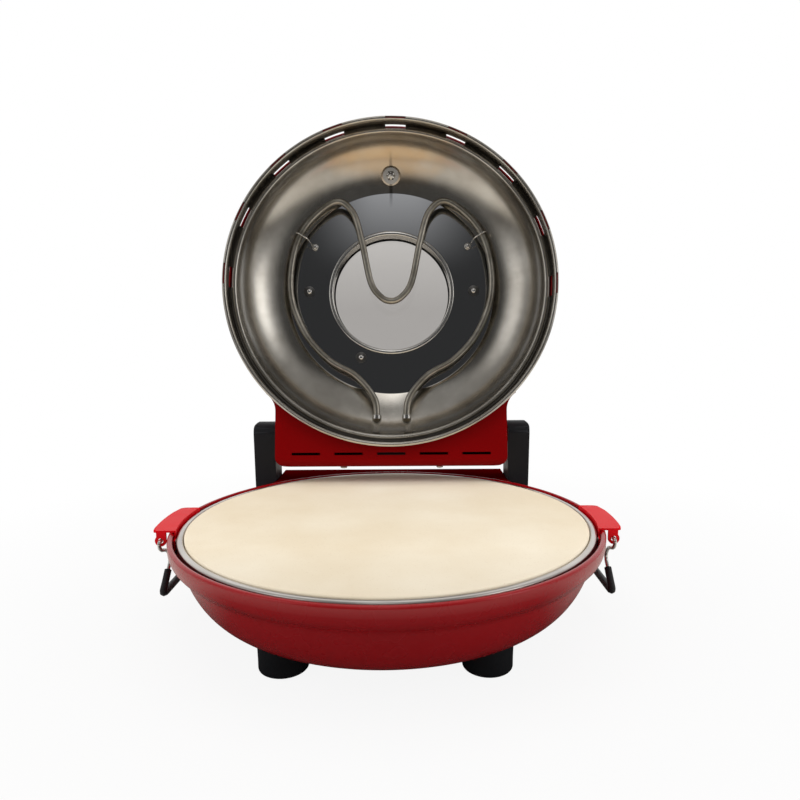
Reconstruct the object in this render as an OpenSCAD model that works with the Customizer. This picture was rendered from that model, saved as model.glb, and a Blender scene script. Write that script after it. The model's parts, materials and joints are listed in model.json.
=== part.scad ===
// Electric pizza maker: a round bowl with a baking stone and a hinged lid with a window.
// The origin is on the table, under the middle of the stone. The front is towards -Y.
// The lid is drawn open, as it rests. Its pieces are modelled closed and then turned.

/* [Baking stone] */
// Diameter of the baking stone
stone_d = 305; // [295:1:320]
// Thickness of the baking stone
stone_t = 10.2; // [8:0.1:12]
// Height of the stone's top above the table
stone_top = 74.8; // [72:0.1:80]
// Rounding of the stone's edges
stone_round = 1.4; // [0.5:0.1:2.5]
// Play around the stone in its recess
stone_play = 0.3; // [0.2:0.05:0.6]

/* [Base] */
// Sheet thickness of the bowl
bowl_t = 1.6; // [1.2:0.1:2]
// Height of the bowl's floor above the table
foot_h = 15; // [12:0.5:17]
// Radius of the flat floor of the bowl
floor_r = 116; // [108:1:118]
// Height of the band under the rolled rim
band_h = 14; // [11:0.5:17]
// Inward step from the band to the bowl's wall
band_step = 7.2; // [5:0.1:8]
// Radius of the rolled rim, to the middle of the sheet
roll_r = 1.2; // [1:0.1:1.6]
// Width of the channel between the steel ring and the rim
channel_w = 2.5; // [2.2:0.1:4]
// Width of the steel ring around the stone
ring_w = 4.9; // [4.2:0.1:7]
// Sheet thickness of the steel pan
pan_t = 1; // [0.8:0.1:1.2]
// Height of the pan's floor above the table
pan_floor = 36; // [32:0.5:42]
// Width of the ledge that carries the stone
ledge_w = 7; // [5:0.5:10]
// Diameter of a foot
foot_d = 33.5; // [28:0.5:40]
// Sideways place of the feet
foot_x = 67.5; // [60:0.5:74]
// Front to back place of the feet
foot_y = 92; // [84:0.5:96]

/* [Hinge] */
// Hinge axis behind the middle of the stone
hinge_y = 146; // [145.5:0.1:150]
// Hinge axis above the stone's top
hinge_up = 42.7; // [42.5:0.1:46]
// Angle between the closed and the open lid
open_angle = 102.7; // [96:0.1:104]
// Diameter of the hinge pins
pin_d = 8; // [6:0.5:10]
// Thickness of a hinge bracket
bracket_w = 21; // [17:0.5:24]
// Radius of a bracket's round top
bracket_r = 12.5; // [12:0.5:16]
// Rounding of a bracket's outer top corner
bracket_round = 5; // [3:0.5:8]
// Gap between the lid's box and a bracket
hinge_gap = 3.7; // [2.5:0.1:5]

/* [Lid] */
// Gap between the closed lid and the stone
lid_gap = 3.4; // [3.2:0.1:5]
// Reach of the lid's edge over the rolled rim
lid_over = 0.7; // [0:0.1:0.9]
// Height of the lid
lid_h = 65.5; // [62:0.5:68]
// Sheet thickness of the lid's painted shell
shell_t = 1.1; // [0.9:0.1:1.4]
// Sheet thickness of the lid's steel dish
dish_t = 0.8; // [0.6:0.1:1]
// Depth of the dish
dish_depth = 51; // [49:0.5:51.5]
// Radius of the flat crown of the dish
crown_r = 105; // [100:1:108]
// Width of the sloping flange at the dish's edge
flange_w = 4; // [3.6:0.1:5]
// Rise of the flange from its outer to its inner edge
flange_rise = 3; // [2:0.1:4.5]
// Depth of the groove between the flange and the bead
groove_d = 14; // [11:0.1:15]
// Number of vents around the front of the lid
vent_n = 9; // [5:2:11]
// Angle from one vent to the next
vent_pitch = 22.5; // [18:0.5:24]
// Length of a vent
vent_l = 20; // [12:0.5:24]

/* [Window] */
// Radius of the clear window
window_r = 60; // [55:0.1:65]
// Thickness of the glass
glass_t = 3.6; // [3:0.1:3.8]
// Width of the bezel around the glass
bezel_w = 10; // [9:0.5:12]

/* [Heating elements] */
// Diameter of the heating tubes
tube_d = 6.5; // [5.5:0.1:7]
// Height of the upper element inside the lid
upper_z = 38; // [35:0.5:39]
// Height of the lower element above the table
lower_z = 50; // [46:0.5:54]
// Radius of the lower element's loop
lower_r = 108; // [95:1:116]
// Sideways place of the elements' ends
terminal_x = 14.8; // [12:0.1:18]

/* [Lid box] */
// Half the width of the box at the back of the lid
box_half = 110.3; // [106:0.1:113]
// Back face of the box, behind the hinge axis
box_back = 32.8; // [30:0.1:32.8]
// Underside of the box, below the hinge axis
box_down = 30; // [28:0.1:30]
// Top of the box, above the hinge axis
box_up = 16.5; // [15:0.1:17.5]
// Sheet thickness of the box and the rear housing
case_t = 1.6; // [1.2:0.1:2]
// Diameter of the thermostat's knob
knob_d = 32; // [26:0.5:36]

/* [Side handles] */
// Length of a handle plate
plate_l = 62; // [56:1:70]
// Reach of a handle plate past the rim
plate_out = 10.3; // [9:0.1:14]
// Sheet thickness of a handle plate
plate_t = 1.5; // [1.2:0.1:1.6]
// Middle of a handle plate, in front of the stone's middle
plate_fwd = 4; // [0:0.5:8]
// Diameter of the bail's wire
wire_d = 2.8; // [2.4:0.1:3]
// Diameter of the bail's grip
grip_d = 5.5; // [5:0.1:6.5]
// Drop from the bail's pivot to its grip
bail_drop = 40.5; // [38:0.5:46]

/* [Lid handle] */
// Length of the lid handle's bar
bar_l = 104; // [80:1:120]
// Diameter of the lid handle's bar
bar_d = 17; // [14:0.5:20]
// Reach of the lid handle's bar from the lid
bar_reach = 34; // [30:0.5:40]

/* [Hidden] */

$fn = 96;
eps = 0.01;
// Gap between pieces that lie against each other
seat = 0.1;
// Radial play of a shaft in its bore
run_play = 0.05;
// Radial play of a hole that a screw or a shaft passes without touching
hole_play = 0.2;

red = "#8a0c16";
bright_red = "#d8353f";
steel = "#b9b4aa";
dark_steel = "#4a4a4c";
black = "#1b1b1d";
cream = "#e8dcc3";
glass_tint = "#a9a49c";

stone_r = stone_d / 2;
recess_r = stone_r + stone_play;
ring_r = recess_r + ring_w;
lip_in = ring_r + channel_w;
rim_r = lip_in + 2 * roll_r + bowl_t;
ring_top = stone_top - 0.6;
rim_top = stone_top - 0.3;
ledge_top = stone_top - stone_t;
bowl_mid = rim_top + 0.5;

hinge_z = stone_top + hinge_up;
lid_z = stone_top + lid_gap;
lid_r = lip_in + lid_over;
shell_r = lid_r - dish_t - seat;
wall_r = lid_r - flange_w;
bead_r = wall_r - 5.6;
bead_round = 1.9;
crown_z = lid_z + dish_depth;
shell_flat = crown_r - 6;
shell_wall = 7;
lid_top = lid_z + lid_h;

box_in = box_half + hinge_gap;
box_rear = hinge_y + box_back;
box_floor = hinge_z - box_down;
box_top = hinge_z + box_up;

// Points of an arc about c, from angle a0 to a1 in n steps
function arc(c, rx, ry, a0, a1, n) =
    [for (i = [0:n]) let (a = a0 + (a1 - a0) * i / n) [c[0] + rx * cos(a), c[1] + ry * sin(a)]];

// Points of a dome's wall from radius r0 at height z0 up to radius r1 at height z1
function dome(r0, z0, r1, z1, bulge, n) =
    [for (i = [0:n]) let (a = 90 * i / n, k = 2 / bulge)
        [r1 + (r0 - r1) * pow(cos(a), k), z0 + (z1 - z0) * pow(sin(a), k)]];

function unit(v) = v / norm(v);
function left_of(v) = [-v[1], v[0]];

// Offset of point i of a line, so that both sides of a sheet stay t apart
function mitre(p, i) =
    let (n = len(p) - 1,
         a = left_of(unit(p[max(i, 1)] - p[max(i, 1) - 1])),
         b = left_of(unit(p[min(i, n - 1) + 1] - p[min(i, n - 1)])),
         m = unit(a + b))
    m / (m * b);

// Outline of a sheet of thickness t whose middle follows the points p
function sheet(p, t) =
    concat([for (i = [0:len(p) - 1]) p[i] + mitre(p, i) * t / 2],
           [for (i = [len(p) - 1:-1:0]) p[i] - mitre(p, i) * t / 2]);

// A smooth line through the points p, with k steps from each to the next
function spline(p, k) =
    let (n = len(p) - 1)
    concat([for (i = [0:n - 1]) for (j = [0:k - 1])
        let (t = j / k, a = p[max(i - 1, 0)], b = p[i], c = p[i + 1], d = p[min(i + 2, n)])
        0.5 * (2 * b + (c - a) * t + (2 * a - 5 * b + 4 * c - d) * t * t
            + (3 * b - a - 3 * c + d) * t * t * t)], [p[n]]);

// A round tube of radius r along the points p of a line in the plane square to up
module tube(p, r, up, sides = 10) {
    n = len(p);
    pts = [for (i = [0:n - 1])
        let (t = unit(p[min(i + 1, n - 1)] - p[max(i - 1, 0)]), s = cross(t, up))
        for (j = [0:sides - 1])
            let (a = 360 * j / sides) p[i] + r * (cos(a) * s + sin(a) * up)];
    walls = [for (i = [0:n - 2]) for (j = [0:sides - 1])
        let (a = i * sides + j, b = i * sides + (j + 1) % sides)
        each [[a, b, a + sides], [b, b + sides, a + sides]]];
    near = [for (j = [1:sides - 2]) [0, j + 1, j]];
    far = [for (j = [1:sides - 2]) let (e = (n - 1) * sides) [e, e + j, e + j + 1]];
    polyhedron(pts, concat(walls, near, far));
}

// A round sleeve along the points p, as tube() makes, with a bore of radius ri
module sleeve(p, ro, ri, up, sides = 8) {
    n = len(p);
    ring = n * sides;
    pts = [for (r = [ro, ri]) for (i = [0:n - 1])
        let (t = unit(p[min(i + 1, n - 1)] - p[max(i - 1, 0)]), s = cross(t, up))
        for (j = [0:sides - 1])
            let (a = 360 * j / sides) p[i] + r * (cos(a) * s + sin(a) * up)];
    walls = [for (i = [0:n - 2]) for (j = [0:sides - 1])
        let (a = i * sides + j, b = i * sides + (j + 1) % sides, c = a + ring, d = b + ring)
        each [[a, b, a + sides], [b, b + sides, a + sides],
            [c, c + sides, d], [d, c + sides, d + sides]]];
    ends = [for (j = [0:sides - 1]) let (k = (j + 1) % sides, e = (n - 1) * sides)
        each [[j, j + ring, k], [k, j + ring, k + ring],
            [e + j, e + k, e + j + ring], [e + k, e + k + ring, e + j + ring]]];
    polyhedron(pts, concat(walls, ends));
}

// A screw with a domed head, its head's underside at the origin, pointing along -Z
module screw(head_r, head_h, shank_r, shank_l) {
    rotate_extrude()
        polygon(concat([[0, -shank_l], [shank_r, -shank_l], [shank_r, 0], [head_r, 0]],
            arc([0, head_h / 3], head_r, head_h * 2 / 3, 0, 90, 6)));
}

// Turns what is modelled closed into the open lid
module open_lid() {
    translate([0, hinge_y, hinge_z]) rotate([-open_angle, 0, 0])
        translate([0, -hinge_y, -hinge_z]) children();
}

module both_sides() {
    children();
    mirror([1, 0, 0]) children();
}

// The bowl

wall_a = rim_r - band_step - floor_r;
wall_b = bowl_mid - foot_h;
wall_end = acos((bowl_mid - (rim_top - band_h - 3.5)) / wall_b);
roll_z = rim_top - roll_r - bowl_t / 2;
roll_mid = rim_r - roll_r - bowl_t / 2;

// Middle line of the bowl's sheet, from the centre of the floor to the rolled rim
bowl_line = concat(
    [[0, foot_h + bowl_t / 2]],
    arc([floor_r, bowl_mid], wall_a - bowl_t / 2, wall_b - bowl_t / 2, -90, -90 + wall_end, 18),
    [[rim_r - bowl_t, rim_top - band_h], [rim_r - bowl_t / 2, rim_top - band_h + 2]],
    arc([roll_mid, roll_z], roll_r, roll_r, 0, 200, 10));

module base_bowl() {
    color(red) difference() {
        rotate_extrude($fn = 180) polygon(sheet(bowl_line, bowl_t));
        for (x = [-foot_x, foot_x], y = [-foot_y, foot_y])
            translate([x, y, 0]) cylinder(r = foot_screw_r + run_play, h = foot_h + 8, $fn = 32);
        at_posts() cylinder(r = post_screw_r + seat, h = foot_h + bowl_t + 1, $fn = 32);
        tail_holes();
        wire_port();
    }
}

// Holes in the back of the bowl and of the pan for the lower element's ends
module tail_holes() {
    for (x = [-terminal_x, terminal_x]) translate([x, lower_r, lower_z]) rotate([-90, 0, 0])
        cylinder(d = tube_d + 4 * hole_play, h = 60, $fn = 32);
}

// Everything within the bowl's outside, grown by g, to fit other pieces against it
module bowl_space(g) {
    rotate_extrude($fn = 180)
        polygon(concat([[0, foot_h - g]],
            arc([floor_r, bowl_mid], wall_a + g, wall_b + g, -90, -90 + wall_end, 18),
            [[rim_r + g, rim_top - band_h - 8 * g], [rim_r + g, rim_top + 20], [0, rim_top + 20]]));
}

// Hole in the back of the bowl for the wires from the rear housing
module wire_port() {
    translate([0, stone_r - 30, port_z]) rotate([-90, 0, 0]) cylinder(r = 6, h = 45, $fn = 32);
}
port_z = 45;

// The steel pan

pan_r = recess_r + pan_t / 2 - ledge_w;
skirt_r = ring_r - pan_t / 2;
skirt_z = bowl_mid - wall_b * cos(wall_end) + 3.1;

// Middle line of the pan's sheet, from the centre of its floor to the skirt's edge
pan_line = concat(
    [[0, pan_floor + pan_t / 2]],
    arc([pan_r - 10, pan_floor + pan_t / 2 + 10], 10, 10, -90, 0, 6),
    arc([pan_r + 1.5, ledge_top - pan_t / 2 - 1.5], 1.5, 1.5, 180, 90, 4),
    [[recess_r + pan_t / 2, ledge_top - pan_t / 2]],
    arc([(recess_r + ring_r) / 2, ring_top - pan_t / 2 - 1.4], (ring_w - pan_t) / 2, 1.4, 180, 0, 10),
    [[skirt_r, skirt_z]]);

module base_liner() {
    color(steel) difference() {
        rotate_extrude($fn = 180) polygon(sheet(pan_line, pan_t));
        tail_holes();
        at_posts() cylinder(r = post_screw_r + seat, h = pan_floor + pan_t + 1, $fn = 32);
    }
}

module baking_stone() {
    color(cream) translate([0, 0, ledge_top]) rotate_extrude($fn = 180)
        polygon(concat([[0, 0]],
            arc([stone_r - stone_round, stone_round], stone_round, stone_round, -90, 0, 4),
            arc([stone_r - stone_round, stone_t - stone_round], stone_round, stone_round, 0, 90, 4),
            [[0, stone_t]]));
}

// Under the stone

post_n = 3;
post_at = 70;
post_r = 6;
post_screw_r = 2;

module at_posts() {
    for (i = [0:post_n - 1]) rotate(90 + 360 * i / post_n) translate([post_at, 0, 0]) children();
}

module pan_posts() {
    color(steel) at_posts() translate([0, 0, foot_h + bowl_t + seat / 2]) difference() {
        cylinder(r = post_r, h = pan_floor - foot_h - bowl_t - seat, $fn = 48);
        translate([0, 0, -1]) cylinder(r = post_screw_r + run_play, h = pan_floor, $fn = 32);
    }
}

module pan_screws() {
    color(dark_steel) at_posts() translate([0, 0, pan_floor + pan_t + seat / 2])
        screw(4.2, 2.4, post_screw_r, pan_floor + pan_t - foot_h + 1);
}

// How far the lower element's ends reach into the rear housing
lower_tail = 7;
// Half of the lower element's route, from the back end to the front middle
lower_half = concat(
    [for (y = [stone_r + lower_tail, stone_r - 6, lower_r + 22]) [terminal_x, y, lower_z]],
    [for (a = [64:-22:-90]) [lower_r * cos(a), lower_r * sin(a), lower_z]]);
lower_route = spline(concat(lower_half,
    [for (i = [len(lower_half) - 2:-1:0]) [-lower_half[i][0], lower_half[i][1], lower_z]]), 4);

module lower_element() {
    color(dark_steel) tube(lower_route, tube_d / 2, [0, 0, 1], 8);
}

clip_n = 3;
clip_w = 10;

module lower_element_clips() {
    color(steel) for (i = [0:clip_n - 1]) rotate(-90 + 120 * (i - 1)) translate([lower_r, 0, 0])
        translate([0, clip_w / 2, 0]) rotate([90, 0, 0]) linear_extrude(clip_w) difference() {
            translate([-tube_d / 2 - 2.5, pan_floor + pan_t + seat / 2])
                square([tube_d + 5, lower_z - pan_floor - pan_t + tube_d / 4]);
            translate([0, lower_z]) circle(d = tube_d + 0.7, $fn = 48);
            translate([-tube_d / 2, pan_floor + pan_t + 2])
                square([tube_d, lower_z - pan_floor - pan_t - tube_d]);
        }
}

module thermal_cutout() {
    color(black) translate([0, 30, pan_floor - seat / 2]) {
        translate([0, 0, -7]) cylinder(r = 8, h = 7, $fn = 48);
        for (x = [-4, 4]) translate([x - 0.4, -3, -14]) cube([0.8, 6, 7 + eps]);
    }
}

// Feet

foot_screw_r = 2.2;

module foot(x, y) {
    color(black) difference() {
        translate([x, y, 0]) rotate_extrude($fn = 72)
            polygon(concat([[0, 0]], arc([foot_d / 2 - 2.6, 2.6], 2.6, 2.6, -90, -4, 6),
                [[foot_d / 2, 9], [foot_d / 2 + 0.4, foot_h + 10], [0, foot_h + 10]]));
        translate([x, y, -1]) cylinder(r = 6, h = 4, $fn = 48);
        translate([x, y, -1]) cylinder(r = foot_screw_r + run_play, h = foot_h + 12, $fn = 32);
        bowl_space(seat);
    }
}
module foot_front_left() { foot(-foot_x, -foot_y); }
module foot_front_right() { foot(foot_x, -foot_y); }
module foot_rear_left() { foot(-foot_x, foot_y); }
module foot_rear_right() { foot(foot_x, foot_y); }

module foot_screws() {
    color(steel) for (x = [-foot_x, foot_x], y = [-foot_y, foot_y])
        translate([x, y, 3 - seat / 2]) rotate([180, 0, 0]) screw(4.6, 2, foot_screw_r, foot_h + 4);
}

// Rear housing and hinge

house_top = rim_top - 1.5;
house_floor = 26;
house_rear = hinge_y + 42;
house_round = 8;
bracket_front = hinge_y - bracket_r - 2;
bracket_back = hinge_y + bracket_r + 4;

// The rear housing's outside, drawn in by i on every side but the bottom and the front
module housing_form(i) {
    intersection() {
        union() {
            translate([-box_in + seat + i, bracket_front - 30, house_floor - 1])
                cube([2 * (box_in - seat - i), house_rear - i - bracket_front + 30, 90]);
            translate([-box_in - 5.5 + i, bracket_front - 30, house_floor - 1])
                cube([2 * (box_in + 5.5 - i), 30 - seat - i, 90]);
        }
        translate([-200, 0, 0]) rotate([90, 0, 90]) linear_extrude(400)
            polygon(concat([[60, house_floor], [60, house_top - i]],
                arc([house_rear - house_round, house_top - house_round],
                    house_round - i, house_round - i, 90, 0, 8),
                [[house_rear - i, house_floor]]));
        translate([0, 250, 0]) rotate([90, 0, 0]) linear_extrude(250)
            polygon(concat(
                arc([box_in + 5.5 - house_round, house_top - house_round],
                    house_round - i, house_round - i, 0, 90, 8),
                arc([-box_in - 5.5 + house_round, house_top - house_round],
                    house_round - i, house_round - i, 90, 180, 8),
                [[-box_in - 5.5 + i, house_floor], [box_in + 5.5 - i, house_floor]]));
    }
}

module rear_housing() {
    color(red) difference() {
        housing_form(0);
        difference() {
            housing_form(case_t);
            at_bracket_screws() translate([0, 0, -14]) cylinder(r = 6, h = 30, $fn = 32);
        }
        translate([0, 0, -eps]) bowl_space(seat);
        at_bracket_screws() translate([0, 0, -15])
            cylinder(r = bracket_screw_r + 0.1, h = 30, $fn = 32);
        translate([gland_x, house_rear + 1, gland_z]) rotate([90, 0, 0])
            cylinder(r = gland_r + seat, h = case_t + 2, $fn = 48);
    }
}

module rear_cover() {
    color(black) difference() {
        translate([0, 0, house_floor + seat]) linear_extrude(case_t)
            polygon([[-box_in + case_t + 2 * seat, bracket_front - 10],
                [-box_in + case_t + 2 * seat, house_rear - case_t - seat],
                [box_in - case_t - 2 * seat, house_rear - case_t - seat],
                [box_in - case_t - 2 * seat, bracket_front - 10]]);
        bowl_space(seat);
    }
}

gland_x = 62;
gland_z = 48;
gland_r = 6.5;
gland_bore = 3.7;
// Thickness of the gland's collar outside and of its nut inside
collar_h = 2.5;

module cord_gland() {
    color(black) translate([gland_x, house_rear, gland_z]) rotate([-90, 0, 0]) difference() {
        union() {
            translate([0, 0, -9]) cylinder(r = gland_r, h = 9.2, $fn = 64);
            translate([0, 0, seat / 2]) cylinder(r = gland_r + 3, h = collar_h, $fn = 64);
            translate([0, 0, -case_t - seat - collar_h])
                cylinder(r = gland_r + 1.8, h = collar_h, $fn = 6);
        }
        translate([0, 0, -20]) cylinder(r = gland_bore, h = 30, $fn = 64);
    }
}

module mains_terminal() {
    color(cream) translate([0, house_rear - 22, house_floor + case_t + 2 * seat])
        terminal_block(40, 12, 2.6);
}

// A ceramic block with three wells at the given pitch, standing at y from 0 on
module terminal_block(length, pitch, well_r, depth = 14) {
    difference() {
        translate([-length / 2, 0, 0]) cube([length, depth, depth]);
        for (i = [-1:1]) translate([i * pitch, depth / 2, 6]) cylinder(r = well_r, h = 20, $fn = 32);
    }
}

// A hinge bracket's shape, seen from the side
bracket_side = concat(
    arc([hinge_y, hinge_z], bracket_r, bracket_r, 172, 0, 14),
    [[bracket_back, hinge_z - 32], [bracket_back, 36], [bracket_back - 6, 24],
     [bracket_front + 8, 24], [bracket_front, 34], [bracket_front, hinge_z - 44]]);

bracket_screw_r = 2.2;
pin_r = pin_d / 2;
pin_tail = 16;
pin_play = 0.02;
washer_gap = 0.4;

// Puts a piece on each screw axis, pointing from the bracket into the housing on the right
module bracket_axes() {
    for (z = [40, 60]) translate([box_in, bracket_back - 15, z]) rotate([0, 90, 0]) children();
}

module at_bracket_screws() {
    both_sides() bracket_axes() children();
}

module bracket() {
    color(black) difference() {
        intersection() {
            translate([box_in, 0, 0]) rotate([90, 0, 90]) linear_extrude(bracket_w)
                polygon(bracket_side);
            translate([0, 250, 0]) rotate([90, 0, 0]) linear_extrude(250)
                polygon(concat([[box_in, 20], [box_in + bracket_w - 1.5, 20]],
                    arc([box_in + bracket_w - bracket_round, hinge_z + bracket_r - bracket_round],
                        bracket_round, bracket_round, 0, 90, 6),
                    [[box_in, hinge_z + bracket_r]]));
        }
        translate([box_in - 1, hinge_y, hinge_z]) rotate([0, 90, 0])
            cylinder(r = pin_r + pin_play, h = pin_tail + 1, $fn = 64);
        bracket_axes() translate([0, 0, -1])
            cylinder(r = bracket_screw_r + run_play, h = 13, $fn = 32);
    }
}
module hinge_bracket_right() { bracket(); }
module hinge_bracket_left() { mirror([1, 0, 0]) bracket(); }

module bracket_screws() {
    color(steel) at_bracket_screws() translate([0, 0, -14 - seat / 2]) rotate([180, 0, 0])
        screw(4.4, 2.2, bracket_screw_r, 25);
}

module pin() {
    color(steel) translate([box_half - boss_l + 2, hinge_y, hinge_z]) rotate([0, 90, 0])
        cylinder(r = pin_r, h = hinge_gap + boss_l - 2 + pin_tail - 0.3, $fn = 64);
}
module hinge_pin_right() { pin(); }
module hinge_pin_left() { mirror([1, 0, 0]) pin(); }

module hinge_washers() {
    color(steel) both_sides() translate([box_half + washer_gap, hinge_y, hinge_z]) rotate([0, 90, 0])
        difference() {
            cylinder(r = boss_r, h = hinge_gap - washer_gap - seat, $fn = 64);
            translate([0, 0, -1]) cylinder(r = pin_r + run_play, h = hinge_gap + 2, $fn = 64);
        }
}

// Side handles

plate_z = rim_top + seat;
plate_in = lip_in - seat;
tab_t = 1.2;
// Height of the tab that is riveted to the bowl, and its height past the plate's ends
tab_h = 11.4;
tab_low = 7.4;
plate_edge = rim_r + plate_out;
plate_sag = 2.4;
plate_rear = 5;
plate_front = 2.5;
ear_x = rim_r + 2.4;
ear_r = 4.2;
neck_out = plate_edge - plate_sag;
pivot_z = plate_z - 6.3;
hole_r = 2;
tab_over = 7;
rivet_y = plate_l / 2 + 3;
rivet_z = plate_z - 6.5;
rivet_r = 1.5;

// Outline of the right handle plate from above, about its own middle
plate_bow = let (h = plate_l / 2) (h * h + plate_sag * plate_sag) / (2 * plate_sag);
plate_outline = let (h = plate_l / 2, e = asin(h / plate_bow))
    concat([for (i = [0:8]) let (y = -h + plate_l * i / 8) [plate_inner(y), y]],
        arc([plate_edge - plate_sag - plate_rear, h - plate_rear], plate_rear, plate_rear,
            90, 30, 6),
        arc([plate_edge - plate_bow, 0], plate_bow, plate_bow, e * 0.55, -e * 0.8, 10),
        arc([plate_edge - plate_sag - plate_front, plate_front - h], plate_front, plate_front,
            -20, -90, 4));

// Where the plate's inner edge runs at distance y from its middle
function plate_inner(y) = sqrt(pow(plate_in - eps, 2) - pow(y - plate_fwd, 2));

module handle_plate() {
    color(bright_red) translate([0, -plate_fwd, 0]) {
        translate([0, 0, plate_z]) linear_extrude(plate_t) polygon(plate_outline);
        difference() {
            for (e = [[-plate_l / 2, plate_front], [plate_l / 2 - plate_t, plate_rear]])
                translate([0, e[0] + plate_t, 0]) rotate([90, 0, 0]) linear_extrude(plate_t) {
                    translate([ear_x, pivot_z]) circle(r = ear_r, $fn = 48);
                    translate([ear_x - ear_r, pivot_z])
                        square([neck_out - e[1] - ear_x + ear_r, plate_z - pivot_z + eps]);
                }
            translate([ear_x, -plate_l, pivot_z]) rotate([-90, 0, 0])
                cylinder(r = hole_r, h = 2 * plate_l, $fn = 48);
        }
    }
    color(bright_red) difference() {
        translate([0, 0, plate_z + plate_t - tab_h - plate_t]) intersection() {
            difference() {
                cylinder(r = plate_in, h = tab_h + plate_t, $fn = 360);
                translate([0, 0, -1]) cylinder(r = plate_in - tab_t, h = tab_h + 4, $fn = 360);
            }
            union() {
                translate([0, -plate_l / 2 - plate_fwd, 0]) cube([rim_r, plate_l, tab_h + 2]);
                translate([0, -plate_l / 2 - plate_fwd - tab_over, 0])
                    cube([rim_r, plate_l + 2 * tab_over, tab_low]);
            }
        }
        rivet_axes() translate([0, 0, -12]) cylinder(r = rivet_r + seat, h = 20, $fn = 32);
    }
}
module handle_plate_right() { handle_plate(); }
module handle_plate_left() { mirror([1, 0, 0]) handle_plate(); }

// Puts a piece on each rivet's axis, at the inside of the right plate's tab, pointing inwards
module rivet_axes() {
    for (y = [-rivet_y, rivet_y]) rotate(asin((y - plate_fwd) / plate_in))
        translate([plate_in - tab_t, 0, rivet_z]) rotate([0, -90, 0]) children();
}

module handle_rivets() {
    color(steel) both_sides() rivet_axes() translate([0, 0, seat / 2])
        screw(2.4, 0.9, rivet_r, rim_r - bowl_t - plate_in + tab_t - seat);
}

wire_r = wire_d / 2;
ear_out = plate_l / 2;
leg_y = ear_out + wire_r + 1.6;
elbow = 2.2;

// Front leg of a bail, from its ear down to the grip: distance from the middle, height
bail_steps = 2;
leg_line = concat(
    arc([leg_y - elbow, -elbow], elbow, elbow, 90, 10, 4),
    [[leg_y - 0.8, -4.6], [ear_out - 1.5, -7.6], [20, -10.8], [14.8, -17], [15.4, -22]]);
grip_line = [[20, -26.5], [27, -33.6], [31.6, -38], [30.6, -bail_drop + 0.5], [26, -bail_drop],
    [10, -bail_drop]];
grip_from = len(leg_line) * bail_steps;

function fold(p) = concat([for (i = [len(p) - 1:-1:0]) if (p[i][0] > 0) [-p[i][0], p[i][1]]]);
function stand(p, x) = [for (q = p) [x, q[0], q[1]]];

bail_line = spline(concat(leg_line, grip_line, fold(concat(leg_line, grip_line))), bail_steps);
// The grip covers the wire between these points of its line
sleeve_line = [for (i = [grip_from:len(bail_line) - 1 - grip_from]) bail_line[i]];

module at_bail() {
    translate([ear_x, -plate_fwd, pivot_z]) children();
}

module bail_wire() {
    color(steel) at_bail() {
        tube(stand(bail_line, 0), wire_r, [1, 0, 0], 8);
        for (s = [-1, 1]) translate([0, s * (leg_y - elbow + eps), 0]) rotate([s * 90, 0, 0])
            cylinder(r = wire_r + run_play, h = elbow + plate_t + 3, $fn = 32);
    }
}
module bail_wire_right() { bail_wire(); }
module bail_wire_left() { mirror([1, 0, 0]) bail_wire(); }

module bail_grip() {
    color(black) at_bail() sleeve(stand(sleeve_line, 0), grip_d / 2, wire_r + 0.08, [1, 0, 0], 8);
}
module bail_grip_right() { bail_grip(); }
module bail_grip_left() { mirror([1, 0, 0]) bail_grip(); }

// The lid, modelled closed

shell_hem = 2.2;
shell_side = concat([[shell_r - shell_t / 2, lid_z + shell_hem]],
    dome(shell_r - shell_t / 2, lid_z + shell_wall, shell_flat, lid_top - shell_t / 2, 1.6, 20));
glass_r = window_r + bezel_w / 2;
bezel_h = 2.2;
// Steam slots in the shell, behind the dish's vents
slot_l = vent_l + 2;
slot_h = 6.5;
slot_up = 5;
slot_in = 6;

module lid_shell() {
    color(red) open_lid() difference() {
        rotate_extrude($fn = 180)
            polygon(sheet(concat(shell_side, [[glass_r + seat, lid_top - shell_t / 2]]), shell_t));
        at_vents() translate([shell_r - slot_in, -slot_l / 2, lid_z + shell_wall + slot_up])
            cube([2 * slot_in, slot_l, slot_h]);
        at_handle() translate([0, 0, -2]) cylinder(r = handle_screw_r + hole_play, h = 30, $fn = 32);
    }
}

// Everything within the shell's outside, grown by g
module shell_space(g) {
    rotate_extrude($fn = 180)
        polygon(concat([[0, lid_z - 40], [lid_r + g, lid_z - 40], [lid_r + g, lid_z + lip_h + 2 * g]],
            dome(shell_r + g, lid_z + shell_wall, shell_flat, lid_top + g, 1.6, 20),
            [[0, lid_top + g]]));
}

// Puts a piece at each vent around the front of the lid
module at_vents() {
    for (i = [0:vent_n - 1])
        rotate(-88 + vent_pitch * (i - (vent_n - 1) / 2)) children();
}

sleeve_t = 0.8;
sleeve_lip = 4.4;
// Height of the dish's lip around the shell's edge
lip_h = 3.4;
// Steel kept around a vent in the flange
vent_rim = 0.9;
// Width of a vent in the groove's floor, and its height in the groove's wall
vent_w = 2;
vent_h = 4.5;
// Radius of the flat pad under the handle's washer
pad_r = 10;
// How far that pad stands in from the middle of the dish's sheet
pad_in = 1.2;

bead_z = lid_z + groove_d - 1.6;
// The dish's wall is an arc of an ellipse, from the bead at angle wall_a0 to the crown
wall_a0 = 4;
wall_a1 = 68;
wall_ra = (bead_r - bead_round - crown_r) / (cos(wall_a0) - cos(wall_a1));
wall_rb = (crown_z + dish_t / 2 - bead_z) / (sin(wall_a1) - sin(wall_a0));
wall_cr = crown_r - wall_ra * cos(wall_a1);
wall_cz = bead_z - wall_rb * sin(wall_a0);

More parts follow.
